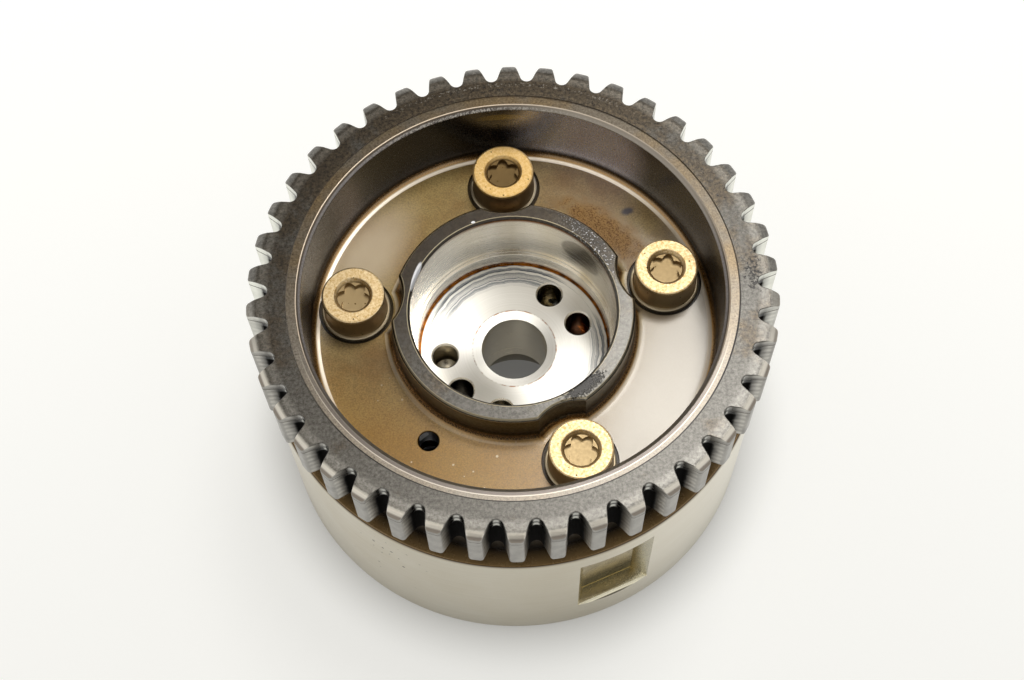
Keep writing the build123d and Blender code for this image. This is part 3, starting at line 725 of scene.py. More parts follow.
# A painted glint on the wall inside the vent hole: white, and less metallic there.
vent_x, vent_y = around(vent_circle, vent_angle)
painted_glint = stain(tree, place, (vent_x - 0.9, vent_y + 1.2, 34.6), (1.0, 0.8, 1.2), edge=0.15)
colour = coated(
    tree, steel, (oily, oil), ("#1d1813", worn_hollow, oil, 0.25),
    ("#2c2620", (painted_shade_left, -6.0, 28.0, 0, 0.6), patches),
    (pale, (radius, tip_radius - 3.6, tip_radius - 2.6, 0, 0.4)),
    (pale, (radius, tip_radius - 1.6, tip_radius - 1.4, 0, 0.75)),
    ("#8f8b83", chips, between(tree, radius, chip_radius - 0.35, chip_radius + 0.35)),
    # a painted highlight across the near teeth's tip bevels, with a painted shade band outside it
    ("#f2ebdd", (radius, tip_radius - 1.45, tip_radius - 1.0, 0, 0.95), front),
    ("#5b4a3b", (radius, tip_radius - 0.65, tip_radius - 0.4, 0, 0.75), front),
    # a painted shadow line where the band steps down, on the near side
    ("#17120e", (radius, band_radius + 0.18, band_radius + 0.1), above, (facing, 2.0, 17.0)),
    # painted shade on the collar's far left, and painted highlights along its edges
    ("#2e2519", (collar_shade_side, -4.0, 12.0, 0, 0.8), collar_face), ("#cbbd9c", lines),
    # painted light on the collar's lamp side
    ("#c9c6bf", (lamp_side, 8.0, 17.0, 0, 0.16), collar_face),
    ("#17130f", pits), ("#1f1c18", dusty, 0.6), ("#d9dade", dust), ("#ffffff", painted_glint),
)
grooves = add(tree, "ShaderNodeTexNoise", {"W": radius, "Scale": 6.0, "Detail": 4.0, "Roughness": 0.7},
              noise_dimensions="1D")
skin(tree, colour, (pores, 0.3, 0.75, 0.28, 0.4),
     relief=((grooves, 0.3, 0.008), (pores, 0.8, 0.03), (pits, 0.6, -0.05)),
     varnish=(0.7, 1.6, 0.26), values={"Metallic": together(tree, (painted_glint, 0, 1, 1.0, 0.2))})

# The narrow band and the chamfer at the cup's mouth were turned last: bare steel with fine
# rings, a little brown with oil. Light is painted on them: the near side lighter, thin
# highlights along the chamfer's edges, and a shadow line at the band's step.
mouth_steel, tree = new_paint("turned_mouth_steel")
place, radius, height = measured(tree)
rings = add(tree, "ShaderNodeTexNoise", {"W": radius, "Scale": 7.0, "Detail": 4.0, "Roughness": 0.7},
            noise_dimensions="1D")
pores = add(tree, "ShaderNodeTexNoise", {"Vector": place, "Scale": 2.8, "Detail": 6.0, "Roughness": 0.75})
patches = add(tree, "ShaderNodeTexNoise", {"Vector": place, "Scale": 0.11, "Detail": 4.0})
grain = together(tree, (pores, 0.34, 0.66))
depth = along(tree, place, 0, 1)
front = together(tree, (depth, -8.0, -22.0))
lamp_side = along(tree, place, 0.64, 0.77)
facing = along(tree, place, 0.25, -0.97)
steel = coated(tree, "#524a3f", ("#867c6d", grain))
oily = coated(tree, "#574936", ("#947f5d", grain))
# Painted light: the near side is lighter and cooler.
near_side_painted_light = coated(tree, "#6d675f", ("#9b948a", grain))
torn = coated(tree, "#4d463e", ("#d2ccc0", (pores, 0.47, 0.56)))
# Painted highlight: the chamfer's inner edge is paler on the far side, with its torn grain.
far_chamfer_highlight = coated(tree, "#8f8886", (torn, (depth, 24.0, 32.0, 0.15, 0.8)))
chamfer_painted_light = coated(
    tree, "#5f5346", (far_chamfer_highlight, (radius, recess_radius + 0.42, recess_radius + 0.3)),
    # a painted highlight along the chamfer's top edge, and painted light on the lamp side and the near side
    ("#dccab2", between(tree, radius, chamfer_top - 0.105, chamfer_top + 0.045)),
    ("#aca294", (lamp_side, 25.0, 32.0, 0, 0.8)), ("#938b80", front),
)
colour = coated(
    tree, steel, (oily, (patches, 0.4, 0.6)), (near_side_painted_light, (depth, 6.0, -14.0, 0, 0.75)),
    # a painted shade strip and a painted highlight line on the band, on the near side only
    ("#6a625d", (radius, chamfer_top + 0.62, chamfer_top + 0.52), front),
    ("#bdb6aa", between(tree, radius, chamfer_top + 0.59, chamfer_top + 0.73), front),
    (chamfer_painted_light, (radius, chamfer_top + 0.14, chamfer_top + 0.04)),
    # a painted shadow line at the band's outer step
    ("#1d1712", between(tree, radius, band_radius - 0.14), (facing, 2.0, 17.0, 0.05, 1.0)),
)
skin(tree, colour, (pores, 0.3, 0.75, 0.26, 0.42), relief=((rings, 0.4, 0.01), (pores, 0.6, 0.02)),
     varnish=(0.5, 1.6, 0.25))

# The chain has rubbed the teeth's sides silver in ribs at the width of its plates. Deep in
# each gap painted shade is mixed with smears of black oil, with two painted highlights
# below the edge, and the teeth at the left and right have painted light on their flanks.
worn, tree = new_paint("chain_rubbed_steel")
place, radius, height = measured(tree)
pores = add(tree, "ShaderNodeTexNoise", {"Vector": place, "Scale": 3.0, "Detail": 6.0, "Roughness": 0.7})
patches = add(tree, "ShaderNodeTexNoise", {"Vector": place, "Scale": 0.5, "Detail": 4.0})
plate_width = 1.5
ripple = add(tree, "ShaderNodeTexNoise", {"Vector": place, "Scale": 0.8, "Detail": 3.0})
ripple = add(tree, "ShaderNodeMath", {0: ripple, 1: 0.5, 2: height}, operation="MULTIPLY_ADD")
ribs = add(tree, "ShaderNodeMath", {0: together(tree, ripple, 2 * pi / plate_width)}, operation="SINE")
flank = together(tree, (radius, tip_radius - 0.3, tip_radius - 0.6),
                 (radius, tip_radius - 2.4, tip_radius - 1.9))
# Painted highlight on the flanks of the teeth at the left and right.
aside = add(tree, "ShaderNodeMath", {0: along(tree, place, 1, 0)}, operation="ABSOLUTE")
aside = together(tree, (aside, 20.0, 27.0, 0, 0.85), (along(tree, place, 0, 1), -9.0, 2.0))
low = together(tree, (height, top_z - 0.5, top_z - 2.0, 0.2, 1.0))
pit = together(tree, (radius, tip_radius - 1.9, tip_radius - 2.4), low)
# Painted shade deep in each gap, mixed with smears of black oil.
gap_shade_and_oil = together(tree, (radius, tip_radius - 1.0, tip_radius - 2.3), low)
smear = together(tree, (patches, 0.3, 0.7, -0.08, 0.3))
gap_shade_and_oil = add(tree, "ShaderNodeMath", {0: gap_shade_and_oil, 1: smear}, operation="ADD", use_clamp=True)
gap_shade_and_oil = together(tree, gap_shade_and_oil, (aside, 0, 1, 1.0, 0.3))
gap_shade_and_oil = together(tree, gap_shade_and_oil, pit, operation="MAXIMUM")
root = together(tree, (radius, root_radius + 0.3, root_radius + 0.12))
# Two painted highlights stand in each root below the top edge.
painted_glints = [between(tree, height, top_z - drop - half, top_z - drop + half)
          for drop, half in ((0.7, 0.28), (2.0, 0.5))]
colour = coated(
    tree, "#8f8c87", ("#aeaba5", (pores, 0.3, 0.7)), ("#d9d6ce", (ribs, -1.0, 1.0, 0.1, 0.6), flank),
    ("#fbfcf3", aside), ("#4b4741", between(tree, height, parting_z - 0.13, parting_z + 0.13)),
    ("#0b0907", gap_shade_and_oil), ("#b2b2aa", painted_glints[0], root), ("#b2b2aa", painted_glints[1], root),
)
rough = together(tree, (pores, 0.3, 0.7, 0.28, 0.42),
                 (radius, tip_radius - 2.3, tip_radius - 2.8, 0, 0.14), operation="SUBTRACT")
dry = together(tree, (height, top_z - 2.5, top_z - 3.0, 0, 0.7))
rough = add(tree, "ShaderNodeMath", {0: pit, 1: dry, 2: rough}, operation="MULTIPLY_ADD", use_clamp=True)
skin(tree, colour, rough, relief=((together(tree, ribs, flank), 0.5, 0.03), (pores, 0.6, 0.01)))

# The cup was turned: fine rings stretch the light into two opposite fans. A film of
# varnished oil lies on it, bronze in the shade and almost clear where it mirrors the lamp.
# Both fans are painted paler as well, the fillet at the wall's foot has a painted highlight
# with a painted glow, and the seats and the wall carry painted shade, sheen and a reflection.
varnished, tree = new_paint("turned_steel_with_oil_varnish")
place, radius, height = measured(tree)
rings = add(tree, "ShaderNodeTexNoise", {"W": radius, "Scale": 5.0, "Detail": 5.0, "Roughness": 0.7},
            noise_dimensions="1D")
film_and_painted_reflection = add(tree, "ShaderNodeTexNoise", {"Vector": place, "Scale": 0.09, "Detail": 5.0, "Roughness": 0.6})
grit = add(tree, "ShaderNodeTexNoise", {"Vector": place, "Scale": 3.8, "Detail": 5.0, "Roughness": 0.75})
thick = together(tree, (film_and_painted_reflection, 0.38, 0.62))
speck = together(tree, (grit, 0.32, 0.68, 0.55, 1.4))
bronze = coated(tree, "#8d784b", ("#7a5e32", thick))
bronze, golden = (
    add(tree, "ShaderNodeVectorMath", {0: tone, "Scale": speck}, operation="SCALE")
    for tone in (bronze, srgb("#a87f38")[:3])
)
rust = stain(tree, place, (16.0, 17.5, floor_z), (3.4, 8.5, 3.0), turn=48, edge=0.5, ragged=1.3)
blotch = stain(tree, place, (20.4, 21.2, floor_z), (1.1, 0.7, 1.0), turn=20, edge=0.5, ragged=0.6)
near = together(tree, (along(tree, place, -0.25, -0.97), 12.0, 24.0, 0, 0.7))
# Painted highlight: the lamp's fan at the lower right is painted paler and greyer.
painted_right_fan = add(tree, "ShaderNodeMapRange", {0: along(tree, place, 0.9, -0.43), 1: 13.0, 2: 26.0},
            interpolation_type="SMOOTHSTEP")
# Painted highlight: the opposite fan at the upper left is painted paler too.
painted_left_fan = stain(tree, place, (*around(28.0, 150.0), floor_z), (4.6, 9.5, 3.0), turn=150, edge=0.7, ragged=0.2)
# A painted highlight along the fillet at the wall's foot, strongest at the far left.
painted_fillet_highlight = together(
    tree, (height, floor_z + 0.002, floor_z + 0.012), (height, floor_z + 0.2, floor_z + 0.1),
    (along(tree, place, -0.5, 0.87), 0.0, 9.0, 0.3, 1.0), (radius, 30.5, 31.5, 0.3, 1.0),
)
# Painted shade on the bolt seats and all that lies below the cup's floor.
painted_seat_shade = together(tree, (height, floor_z - 0.03, floor_z - 0.12, 0, 0.92))
colour = coated(
    tree, bronze, ("#8b6b3e", rust), ("#5a3a1c", between(tree, grit, 0.53), rust), ("#3c332e", blotch),
    (golden, near), ("#f3ead2", specks(tree, place, 1.7, 0.22), near), ("#a59c8e", painted_right_fan),
    # the left fan painted paler, then a painted glow beside the fillet's highlight
    ("#b3a48c", painted_left_fan, 0.8), ("#b28b54", (height, floor_z + 0.1, floor_z + 0.22)),
    # painted shade up the fillet, its painted highlight and the seats' painted shade
    ("#34291d", (height, floor_z + 0.25, floor_z + 1.0)), ("#f6e8d2", painted_fillet_highlight), ("#1c150d", painted_seat_shade),
)
dull = together(tree, (along(tree, place, -0.8, 0.6), 12.0, 30.0, 0, 0.85),
                (height, floor_z + 0.5, floor_z + 1.4))
dull = together(tree, dull, rust, painted_seat_shade, together(tree, near, 0.4), operation="MAXIMUM")
# A painted olive reflection high on the far wall.
painted_olive_reflection = stain(tree, place, (-1.2, recess_radius, 46.9), (4.6, 2.0, 0.75), edge=0.2, ragged=0.3)
painted_wall = coated(tree, "#4a494c", ("#38373a", thick), ("#857a4c", painted_olive_reflection))
# Painted sheen and painted shade in patches round the cup's wall: pale at 68° and 150°, darker elsewhere.
for angle, reach, tone in (
    (68.0, 11.0, "#dfe3ff"), (150.0, 7.0, "#6b676b"), (115.0, 12.0, "#29272a"), (166.0, 11.0, "#242120"),
    (-6.0, 13.0, "#2a2726"), (-38.0, 11.0, "#262321"),
):
    patch = stain(tree, place, (*around(recess_radius, angle), 43.0), (reach, reach, 12.0), ragged=0.15)
    painted_wall = coated(tree, painted_wall, (tone, patch))
colour = coated(tree, colour, (painted_wall, (height, floor_z + 0.9, floor_z + 2.2)))
rough = together(tree, (grit, 0.3, 0.7, 0.42, 0.52), (height, floor_z + 0.02, floor_z + 0.3, 0, 0.2),
                 operation="SUBTRACT")
skin(tree, colour, rough, relief=((rings, 0.3, 0.005), (grit, 0.6, 0.016)), turned=0.78,
     varnish=(together(tree, (dull, 0, 1, 1.0, 0.2)), 1.65, 0.2))

# The bore is honed bright for the camshaft's nose, with a rust stain low down where water
# stood in the corner. Its left side is painted lighter, a dark painted reflection lies on its
# far wall, and painted shade marks the corner at its ledge.
honed, tree = new_paint("honed_bore_steel")
place, radius, height = measured(tree)
lines = streaked(tree, place, (0.08, 0.08, 4.0), 4.0, 0.6)
brown = add(tree, "ShaderNodeTexNoise", {"Vector": place, "Scale": 0.16, "Detail": 5.0, "Roughness": 0.65})
# Painted light: the bore's left side is painted lighter.
painted_light_left = together(tree, (along(tree, place, 1, 0), -4.0, -13.0))
lip = together(tree, (height, collar_top - 1.3, collar_top - 0.7), (painted_light_left, 0, 1, 1.0, 0.3))
brown = together(tree, (brown, 0.36, 0.56), (height, ledge_z - 1.0, ledge_z - 3.2, 0, 0.35))
brown = together(tree, brown, lip, operation="MAXIMUM")
bands = streaked(tree, place, (0.14, 0.14, 0.0), 2.0)
# A dark oval painted reflection on the far wall of the bore.
film_and_painted_reflection = stain(tree, place, (12.0, 12.05, 36.6), (4.4, 1.6, 3.2), turn=-45, edge=0.08)
colour = coated(
    tree, "#fffaf0", ("#e2d8c2", (bands, 0.35, 0.65)), ("#fffaf0", painted_light_left), ("#6f6655", film_and_painted_reflection, 0.55),
    # the thin dark line is painted shade in the corner at the ledge
    ("#6e6249", between(tree, height, ledge_z + 0.05, ledge_z + 0.15)), ("#80501f", brown),
)
skin(tree, colour, (lines, 0.3, 0.7, 0.2, 0.3), relief=((lines, 0.4, 0.004),))

sprocket.data.materials.clear()
for paint in (sintered, worn, varnished, honed, mouth_steel):
    sprocket.data.materials.append(paint)
wall_top = chamfer_foot - 0.05
for face in sprocket.data.polygons:
    x, y, z = face.center / mm
    reach = hypot(x, y)
    cup_wall = recess_radius - 0.5 < reach < recess_radius + 0.02 and z < wall_top
    if reach < bore_radius + 0.02 and z > plate_bottom + 0.1:
        face.material_index = 3
    elif recess_radius < reach < band_radius and z > wall_top:
        face.material_index = 4
    elif reach > neck_radius + 0.05 and abs(face.normal.z) < 0.5:
        face.material_index = 1
    elif seat_z - 0.1 < z < fillet_height or cup_wall:
        face.material_index = 2 if collar_radius - 1.2 < reach < recess_radius + 0.02 else 0
    else:
        face.material_index = 0
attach(sprocket, "housing")
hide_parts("sprocket")


# Drum
# The stator: a steel ring, ground outside, with four lobes inside that the rotor's vanes
# work between. The sprocket's spigot sits in its top and the front cover in its underside.
drum_radius = 41.8
drum_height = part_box("drum")[1].z / mm
drum_edge = 0.4
chamber_radius = 34.5
lobe_tip_radius = 19.65
lobe_half_angle = 13.0
spigot_seat = 36.6
cover_seat = 38.0
cover_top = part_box("front_cover")[1].z / mm
pocket_floor = 38.7
pocket_half_width = 4.6
pocket_side_angle = radians(37)
pocket_bottom = 8.6
pocket_top = 30.0
pocket_lip = 0.75
pin_angle = 181.1
pin_circle = 31.8
pin_radius = 1.27
pin_length = 8.0


def arc(radius, start, end, steps):
    return [around(radius, angle) for angle in np.linspace(start, end, steps)]


def prism(name, outline, low, high):
    """An upright piece with the outline of (x, y) points between two heights."""
    count = len(outline)
    verts = [(x, y, low) for x, y in outline] + [(x, y, high) for x, y in outline]
    faces = [tuple(range(count - 1, -1, -1)), tuple(range(count, 2 * count))]
    faces += [(k, (k + 1) % count, (k + 1) % count + count, k + count) for k in range(count)]
    return new_object(name, np.array(verts) * mm, faces)


drum = lathe("drum_steel", (
    (0, cover_top), (cover_seat, cover_top), (cover_seat, 0.2), (cover_seat + 0.2, 0),
    (drum_radius - drum_edge - 0.08, 0), (drum_radius - drum_edge + 0.05, 0.05),
    (drum_radius - 0.05, drum_edge - 0.05), (drum_radius, drum_edge + 0.08),
    (drum_radius, 8.0), (drum_radius, 17.0), (drum_radius, 26.0),
    (drum_radius, drum_height - drum_edge - 0.08), (drum_radius - 0.05, drum_height - drum_edge + 0.05),
    (drum_radius - drum_edge + 0.05, drum_height - 0.05), (drum_radius - drum_edge - 0.08, drum_height),
    (spigot_seat + 0.15, drum_height), (spigot_seat, drum_height - 0.15), (spigot_seat, plate_bottom),
    (0, plate_bottom),
), segments=720)
chamber = []
for index, angle in enumerate(bolt_angles):
    following = bolt_angles[(index + 1) % 4] + (360 if index == 3 else 0)
    chamber += arc(lobe_tip_radius, angle - lobe_half_angle, angle + lobe_half_angle, 9)
    chamber += arc(chamber_radius, angle + lobe_half_angle, following - lobe_half_angle, 40)
cuts = [prism("chamber", chamber, cover_top - past, plate_bottom + past)]
for angle in bolt_angles:
    cuts.append(lathe("stack_hole", (
        (0, cover_top - past), (bolt_hole_radius, cover_top - past),
        (bolt_hole_radius, plate_bottom + past), (0, plate_bottom + past),
    ), around(bolt_circle, angle), 48))
cuts.append(lathe("pin_hole", (
    (0, plate_bottom - pin_length / 2), (pin_radius, plate_bottom - pin_length / 2),
    (pin_radius, plate_bottom + past), (0, plate_bottom + past),
), around(pin_circle, pin_angle), 32))
mouth = drum_radius + past - pocket_floor
half_mouth = pocket_half_width + mouth * tan(pocket_side_angle)
pocket_outline = [(0, -pocket_half_width), (mouth, -half_mouth), (mouth, half_mouth), (0, pocket_half_width)]
pocket = prism("pocket", [(pocket_floor + x, y) for x, y in pocket_outline], pocket_bottom, pocket_top)
lip_start = drum_radius - pocket_lip
lip_half = pocket_half_width + (lip_start - pocket_floor) * tan(pocket_side_angle)
lip_points = [(lip_start - 0.1, pocket_bottom + 0.5)]
for turn in np.linspace(0, pi / 2.4, 7):
    lip_points.append((lip_start + pocket_lip * sin(turn), pocket_bottom - pocket_lip * (1 - cos(turn))))
lip_points += [(drum_radius + past, pocket_bottom + rise) for rise in (-2.2 * pocket_lip, 0.5)]
lip = prism("pocket_lip", lip_points, -lip_half, lip_half)
for piece, standing in ((pocket, True), (lip, False)):
    for vertex in piece.data.vertices:
        x, y, z = vertex.co
        vertex.co = Matrix.Rotation(radians(bolt_angles[-1]), 3, "Z") @ (
            Vector((x, y, z)) if standing else Vector((x, -z, y)))
    face_outwards(piece)
cuts += [pocket, lip]
cut_from(drum, cuts)
face_outwards(drum)
ground, tree = new_paint("ground_and_oiled_steel")
drum.data.materials.clear()
drum.data.materials.append(ground)
place, radius, height = measured(tree)
lines = streaked(tree, place, (0.05, 0.05, 3.2), 5.0, 0.6)
cloud = add(tree, "ShaderNodeTexNoise", {"Vector": place, "Scale": 0.06, "Detail": 4.0, "Roughness": 0.6})
pitted = stain(tree, place, (-22.5, -35.2, 22.0), (8.5, 5.0, 9.5), edge=0.6, ragged=0.8)
pits = together(tree, specks(tree, place, 1.5, 0.3), pitted)
# Painted light: the drum is painted lighter towards the right and darker on its front, and a painted shade
# line runs round its top edge under the teeth.
colour = coated(
    tree, "#d3cdbe", ("#cbc3b0", (cloud, 0.35, 0.65)),
    ("#e8e3d6", (along(tree, place, 1, 0), 12.0, 36.0, 0, 0.8)),
    ("#9d9580", (along(tree, place, -0.1, -1.0), 34.0, 41.0, 0, 0.28)),
    ("#4b3823", (height, drum_height - 0.3, drum_height - 0.12)), ("#3a3126", pits),
)
skin(tree, colour, (lines, 0.3, 0.7, 0.28, 0.4), relief=((lines, 0.4, 0.006), (pits, 0.6, -0.05)))

# Oil has dried golden in the pocket. Painted shade darkens the foot of its back wall and the
# drum's upper face under the teeth, the ledge is painted lighter, and its lip carries a
# painted highlight over painted shade.
oiled, tree = new_paint("oil_stained_steel")
place, radius, height = measured(tree)
film_and_painted_reflection = add(tree, "ShaderNodeTexNoise", {"Vector": place, "Scale": 0.5, "Detail": 6.0, "Roughness": 0.65})
# Painted shade at the foot of the pocket's back wall.
foot = together(tree, (height, pocket_bottom + 6.2, pocket_bottom + 3.2),
                (radius, pocket_floor + 0.6, pocket_floor + 0.2))
aside = along(tree, place, *around(1.0, bolt_angles[-1] + 90))
upper = between(tree, height, drum_height - 1.0)
# Painted shade under the teeth, lighter towards the drum's edge.
painted_shade_under_teeth = coated(tree, "#2e2316", ("#9a7d52", (radius, drum_radius - 3.0, drum_radius - 0.7)))
# A painted highlight along the ledge's lip, with painted shade below it.
lip = coated(tree, "#4a4330", ("#fff8dc", (height, pocket_bottom - 0.32, pocket_bottom - 0.22)))
lip_edge = together(tree, (radius, drum_radius - 0.95, drum_radius - 0.85),
                    between(tree, height, high=pocket_bottom + 0.3))
colour = coated(
    tree, "#a39266", ("#7d6a3c", (film_and_painted_reflection, 0.36, 0.64)), ("#170f06", foot),
    # the ledge is painted lighter, as painted light; the pocket's side takes the drum's colour
    ("#dccb95", between(tree, height, high=pocket_bottom + 0.2)), ("#c9c4b2", (aside, 4.9, 5.7, 0, 0.95)),
    ("#c5bea5", (radius, drum_radius - 2.2, drum_radius - 0.8, 0, 0.9)), (painted_shade_under_teeth, upper), (lip, lip_edge),
)
skin(tree, colour, (film_and_painted_reflection, 0.3, 0.7, 0.2, 0.32), relief=((film_and_painted_reflection, 0.4, 0.02),), values={
    "Metallic": together(tree, (upper, 0, 1, 1.0, 0.3)),
    "Coat Weight": together(tree, (foot, 0, 1, 0.6, 0.0)), "Coat IOR": 1.5, "Coat Roughness": 0.15,
})
drum.data.materials.append(oiled)
for face in drum.data.polygons:
    x, y, z = face.center / mm
    in_wall = pocket_floor - 0.1 < hypot(x, y) < drum_radius - 0.01
    in_pocket = pocket_bottom - 2 * pocket_lip < z < drum_height - 2.0
    on_top = drum_height - 2.0 <= z < drum_height and face.normal.z > 0.9
    if in_wall and (in_pocket or on_top):
        face.material_index = 1
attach(drum, "housing")
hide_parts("drum")


# Rotor
# The hub with four vanes that turns inside the drum. Its bright face inside the bore is
# finely turned, and the camshaft's oil reaches it through drilled holes.
rotor_low, rotor_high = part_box("rotor")
rotor_bottom = rotor_low.z / mm
rotor_top = rotor_high.z / mm
hub_radius = 19.5
vane_tip_radius = 34.4
vane_slot_radius = 31.2
vane_slot_half = 1.0
vane_spans = ((33.2, 49.2), (111.25, 127.25), (185.0, 253.5), (313.2, 329.2))
cam_face_radius = 15.2
cam_face_z = rotor_top - 0.15
bolt_bore = 5.65
bolt_bore_sink = 7.2
bolt_bore_seat = 12.0
head_recess = 10.2
port_circle = 12.0
port_radius = 2.15
port_edge = 0.25
port_floor = 14.8
dowel_floor = 20.65
ports = ((21.4, port_floor, 17.0), (57.5, port_floor, 20.0), (257.3, port_floor, 17.0),
         (219.0, port_floor, 0), (184.9, dowel_floor, 0))
channel_radius = 1.2
lock_bore = 4.5
lock_nose_bore = 3.05
lock_guide_z = 23.8

rotor_outline = []
for index, (start, end) in enumerate(vane_spans):
    following = vane_spans[(index + 1) % 4][0] + (360 if index == 3 else 0)
    middle = (start + end) / 2
    slot_turn = degrees(asin(vane_slot_half / vane_tip_radius))
    slot_foot = degrees(asin(vane_slot_half / vane_slot_radius))
    rotor_outline += arc(vane_tip_radius, start, middle - slot_turn, 12)
    rotor_outline += arc(vane_slot_radius, middle - slot_foot, middle + slot_foot, 3)
    rotor_outline += arc(vane_tip_radius, middle + slot_turn, end, 12)
    rotor_outline += arc(hub_radius, end, following, 24)
rotor = prism("rotor_steel", rotor_outline, rotor_bottom, rotor_top)
cuts = [lathe("bolt_bore", (
    (0, rotor_bottom - past), (head_recess, rotor_bottom - past), (head_recess, bolt_bore_seat),
    (bolt_bore + 0.12, bolt_bore_seat), (bolt_bore, bolt_bore_seat + 0.12),
    (bolt_bore, cam_face_z - 0.35), (bolt_bore_sink, cam_face_z),
    (cam_face_radius - 0.04, cam_face_z), (cam_face_radius, cam_face_z + 0.04),
    (cam_face_radius, rotor_top + past), (0, rotor_top + past),
), segments=256)]
for angle, floor, channel_z in ports:
    cuts.append(lathe("port", (
        (0, floor - port_radius / tan(radians(59))), (port_radius, floor),
        (port_radius, cam_face_z - port_edge), (port_radius + port_edge, cam_face_z),
        (port_radius + port_edge, rotor_top + past), (0, rotor_top + past),
    ), around(port_circle, angle), 72))
    if channel_z:
        bar = lathe("channel", (
            (0, port_circle), (channel_radius, port_circle), (channel_radius, hub_radius + past),
            (0, hub_radius + past),
        ), segments=32)
        lay = Matrix.Rotation(radians(angle), 4, "Z") @ Matrix.Rotation(pi / 2, 4, "Y")
        bar.data.transform(Matrix.Translation((0, 0, channel_z * mm)) @ lay)
        cuts.append(bar)
lock_place = around(vent_circle, vent_angle)
cuts.append(lathe("lock_bore", (
    (0, rotor_bottom - past), (lock_bore, rotor_bottom - past), (lock_bore, lock_guide_z),
    (lock_nose_bore, lock_guide_z), (lock_nose_bore, rotor_top + past), (0, rotor_top + past),
), lock_place, 64))
cut_from(rotor, cuts)
face_outwards(rotor, sharp=9)
bright, tree = new_paint("finely_turned_steel")
rotor.data.materials.clear()
rotor.data.materials.append(bright)
place, radius, height = measured(tree)
rings = add(tree, "ShaderNodeTexNoise", {"W": radius, "Scale": 4.0, "Detail": 5.0, "Roughness": 0.7},
            noise_dimensions="1D")
tears = add(tree, "ShaderNodeTexNoise", {"Vector": place, "Scale": 0.5, "Detail": 5.0})
drift = add(tree, "ShaderNodeMath", {0: tears, 1: 0.8, 2: radius}, operation="MULTIPLY_ADD")
arcs = add(tree, "ShaderNodeTexNoise", {"W": drift, "Scale": 2.2, "Detail": 6.0, "Roughness": 0.8},
           noise_dimensions="1D")
heading = add(tree, "ShaderNodeVectorMath", {0: place, 1: (1, 1, 0)}, operation="MULTIPLY")
heading = add(tree, "ShaderNodeVectorMath", {0: heading}, operation="NORMALIZE")
scuffs = []
for middle, half, inner in ((104.0, 46.0, 12.2), (-4.0, 22.0, 13.2)):
    facing = along(tree, heading, *around(1.0, middle))
    scuffs.append(together(tree, (facing, cos(radians(half + 8.0)), cos(radians(half - 8.0))),
                           (drift, inner + 0.2, inner + 1.0)))
scuffed = together(tree, together(tree, *scuffs, operation="MAXIMUM"), (arcs, 0.44, 0.56))
shaded = stain(tree, place, (-4.7, -9.2, cam_face_z), (5.0, 3.2, 2.0), turn=-30, edge=0.7)
gaps = add(tree, "ShaderNodeTexNoise", {"Vector": place, "Scale": 0.7, "Detail": 5.0, "Roughness": 0.7})
gaps = together(tree, (gaps, 0.42, 0.6))
rust = together(tree, (radius, bolt_bore_sink - 0.14, bolt_bore_sink + 0.02),
                (radius, bolt_bore_sink + 0.2, bolt_bore_sink + 0.06), gaps)
corner = (radius, cam_face_radius + 0.75, cam_face_radius + 0.95)
rust = together(tree, rust, corner, operation="MAXIMUM")
rust = together(tree, rust, between(tree, height, cam_face_z - 0.5))
colour = coated(
    tree, "#cfccc4", ("#e6e4df", rings), ("#70757b", scuffed), ("#85827a", shaded, 0.6),
    (coated(tree, "#4a2b0e", ("#8e5518", gaps)), rust),
)
skin(tree, colour, (rings, 0.3, 0.7, 0.3, 0.4), turned=0.9,
     relief=((rings, 0.35, 0.005), (scuffed, 0.5, -0.012)))

# The holes through its face are drilled and reamed: smooth, a little darker, and rusty at
# the foot of one oil port, where the rust is painted bright as a highlight. Painted shade
# fills three of the ports, and thin painted highlights ring the holes' mouths.
reamed, tree = new_paint("reamed_hole_steel")
place, radius, height = measured(tree)
lines = streaked(tree, place, (0.3, 0.3, 3.0), 4.0)
colour = coated(tree, "#b5ae9f", ("#948c79", lines))
# Painted shade inside three oil ports; the first is also rust-brown.
for number, tone in ((0, "#5e3516"), (3, "#1d1914"), (1, "#8f8467")):
    port_shade_and_rust = stain(tree, place, (*around(port_circle, ports[number][0]), 22.0), (3.2, 3.2, 6.0), edge=0.2)
    colour = coated(tree, colour, (tone, port_shade_and_rust))
x, y = around(port_circle, ports[0][0])
# Rust at the foot of that port, painted bright orange as a highlight.
rust_with_painted_highlight = stain(tree, place, (x + 1.6, y + 1.2, 20.6), (1.4, 1.2, 2.2), edge=0.3, ragged=1.2)
colour = coated(
    tree, colour, ("#ff9a35", rust_with_painted_highlight), ("#fff6e2", (radius, bolt_bore + 1.0, bolt_bore + 0.5)),
    # thin painted highlights round the mouths of the holes
    ("#efece4", between(tree, height, cam_face_z - 0.45)),
)
skin(tree, colour, (lines, 0.3, 0.7, 0.16, 0.28), relief=((lines, 0.3, 0.006),))
rotor.data.materials.append(reamed)
for face in rotor.data.polygons:
    x, y, z = face.center / mm
    if hypot(x, y) < cam_face_radius - 0.1 and z < cam_face_z and face.normal.z < 0.9:
        face.material_index = 1
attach(rotor, "rotor")
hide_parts("rotor")


# Bolts
# Four M6 bolts, yellow zinc plated, with a flange under a round head and a six-lobed
# recess. They clamp sprocket, drum and cover, and are threaded into the cover.
bolt_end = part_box("torx_bolts")[0].z / mm
head_radius = 5.25
head_top = seat_z + 6.1
flange_radius = 5.8
flange_top = seat_z + 0.9
shank_radius = 3.0
lobe_radius = 2.75
recess_waist = 1.95
recess_floor = head_top - 1.6
mouth_radius = 3.2
mouth_depth = 0.7
recess_point = -0.04

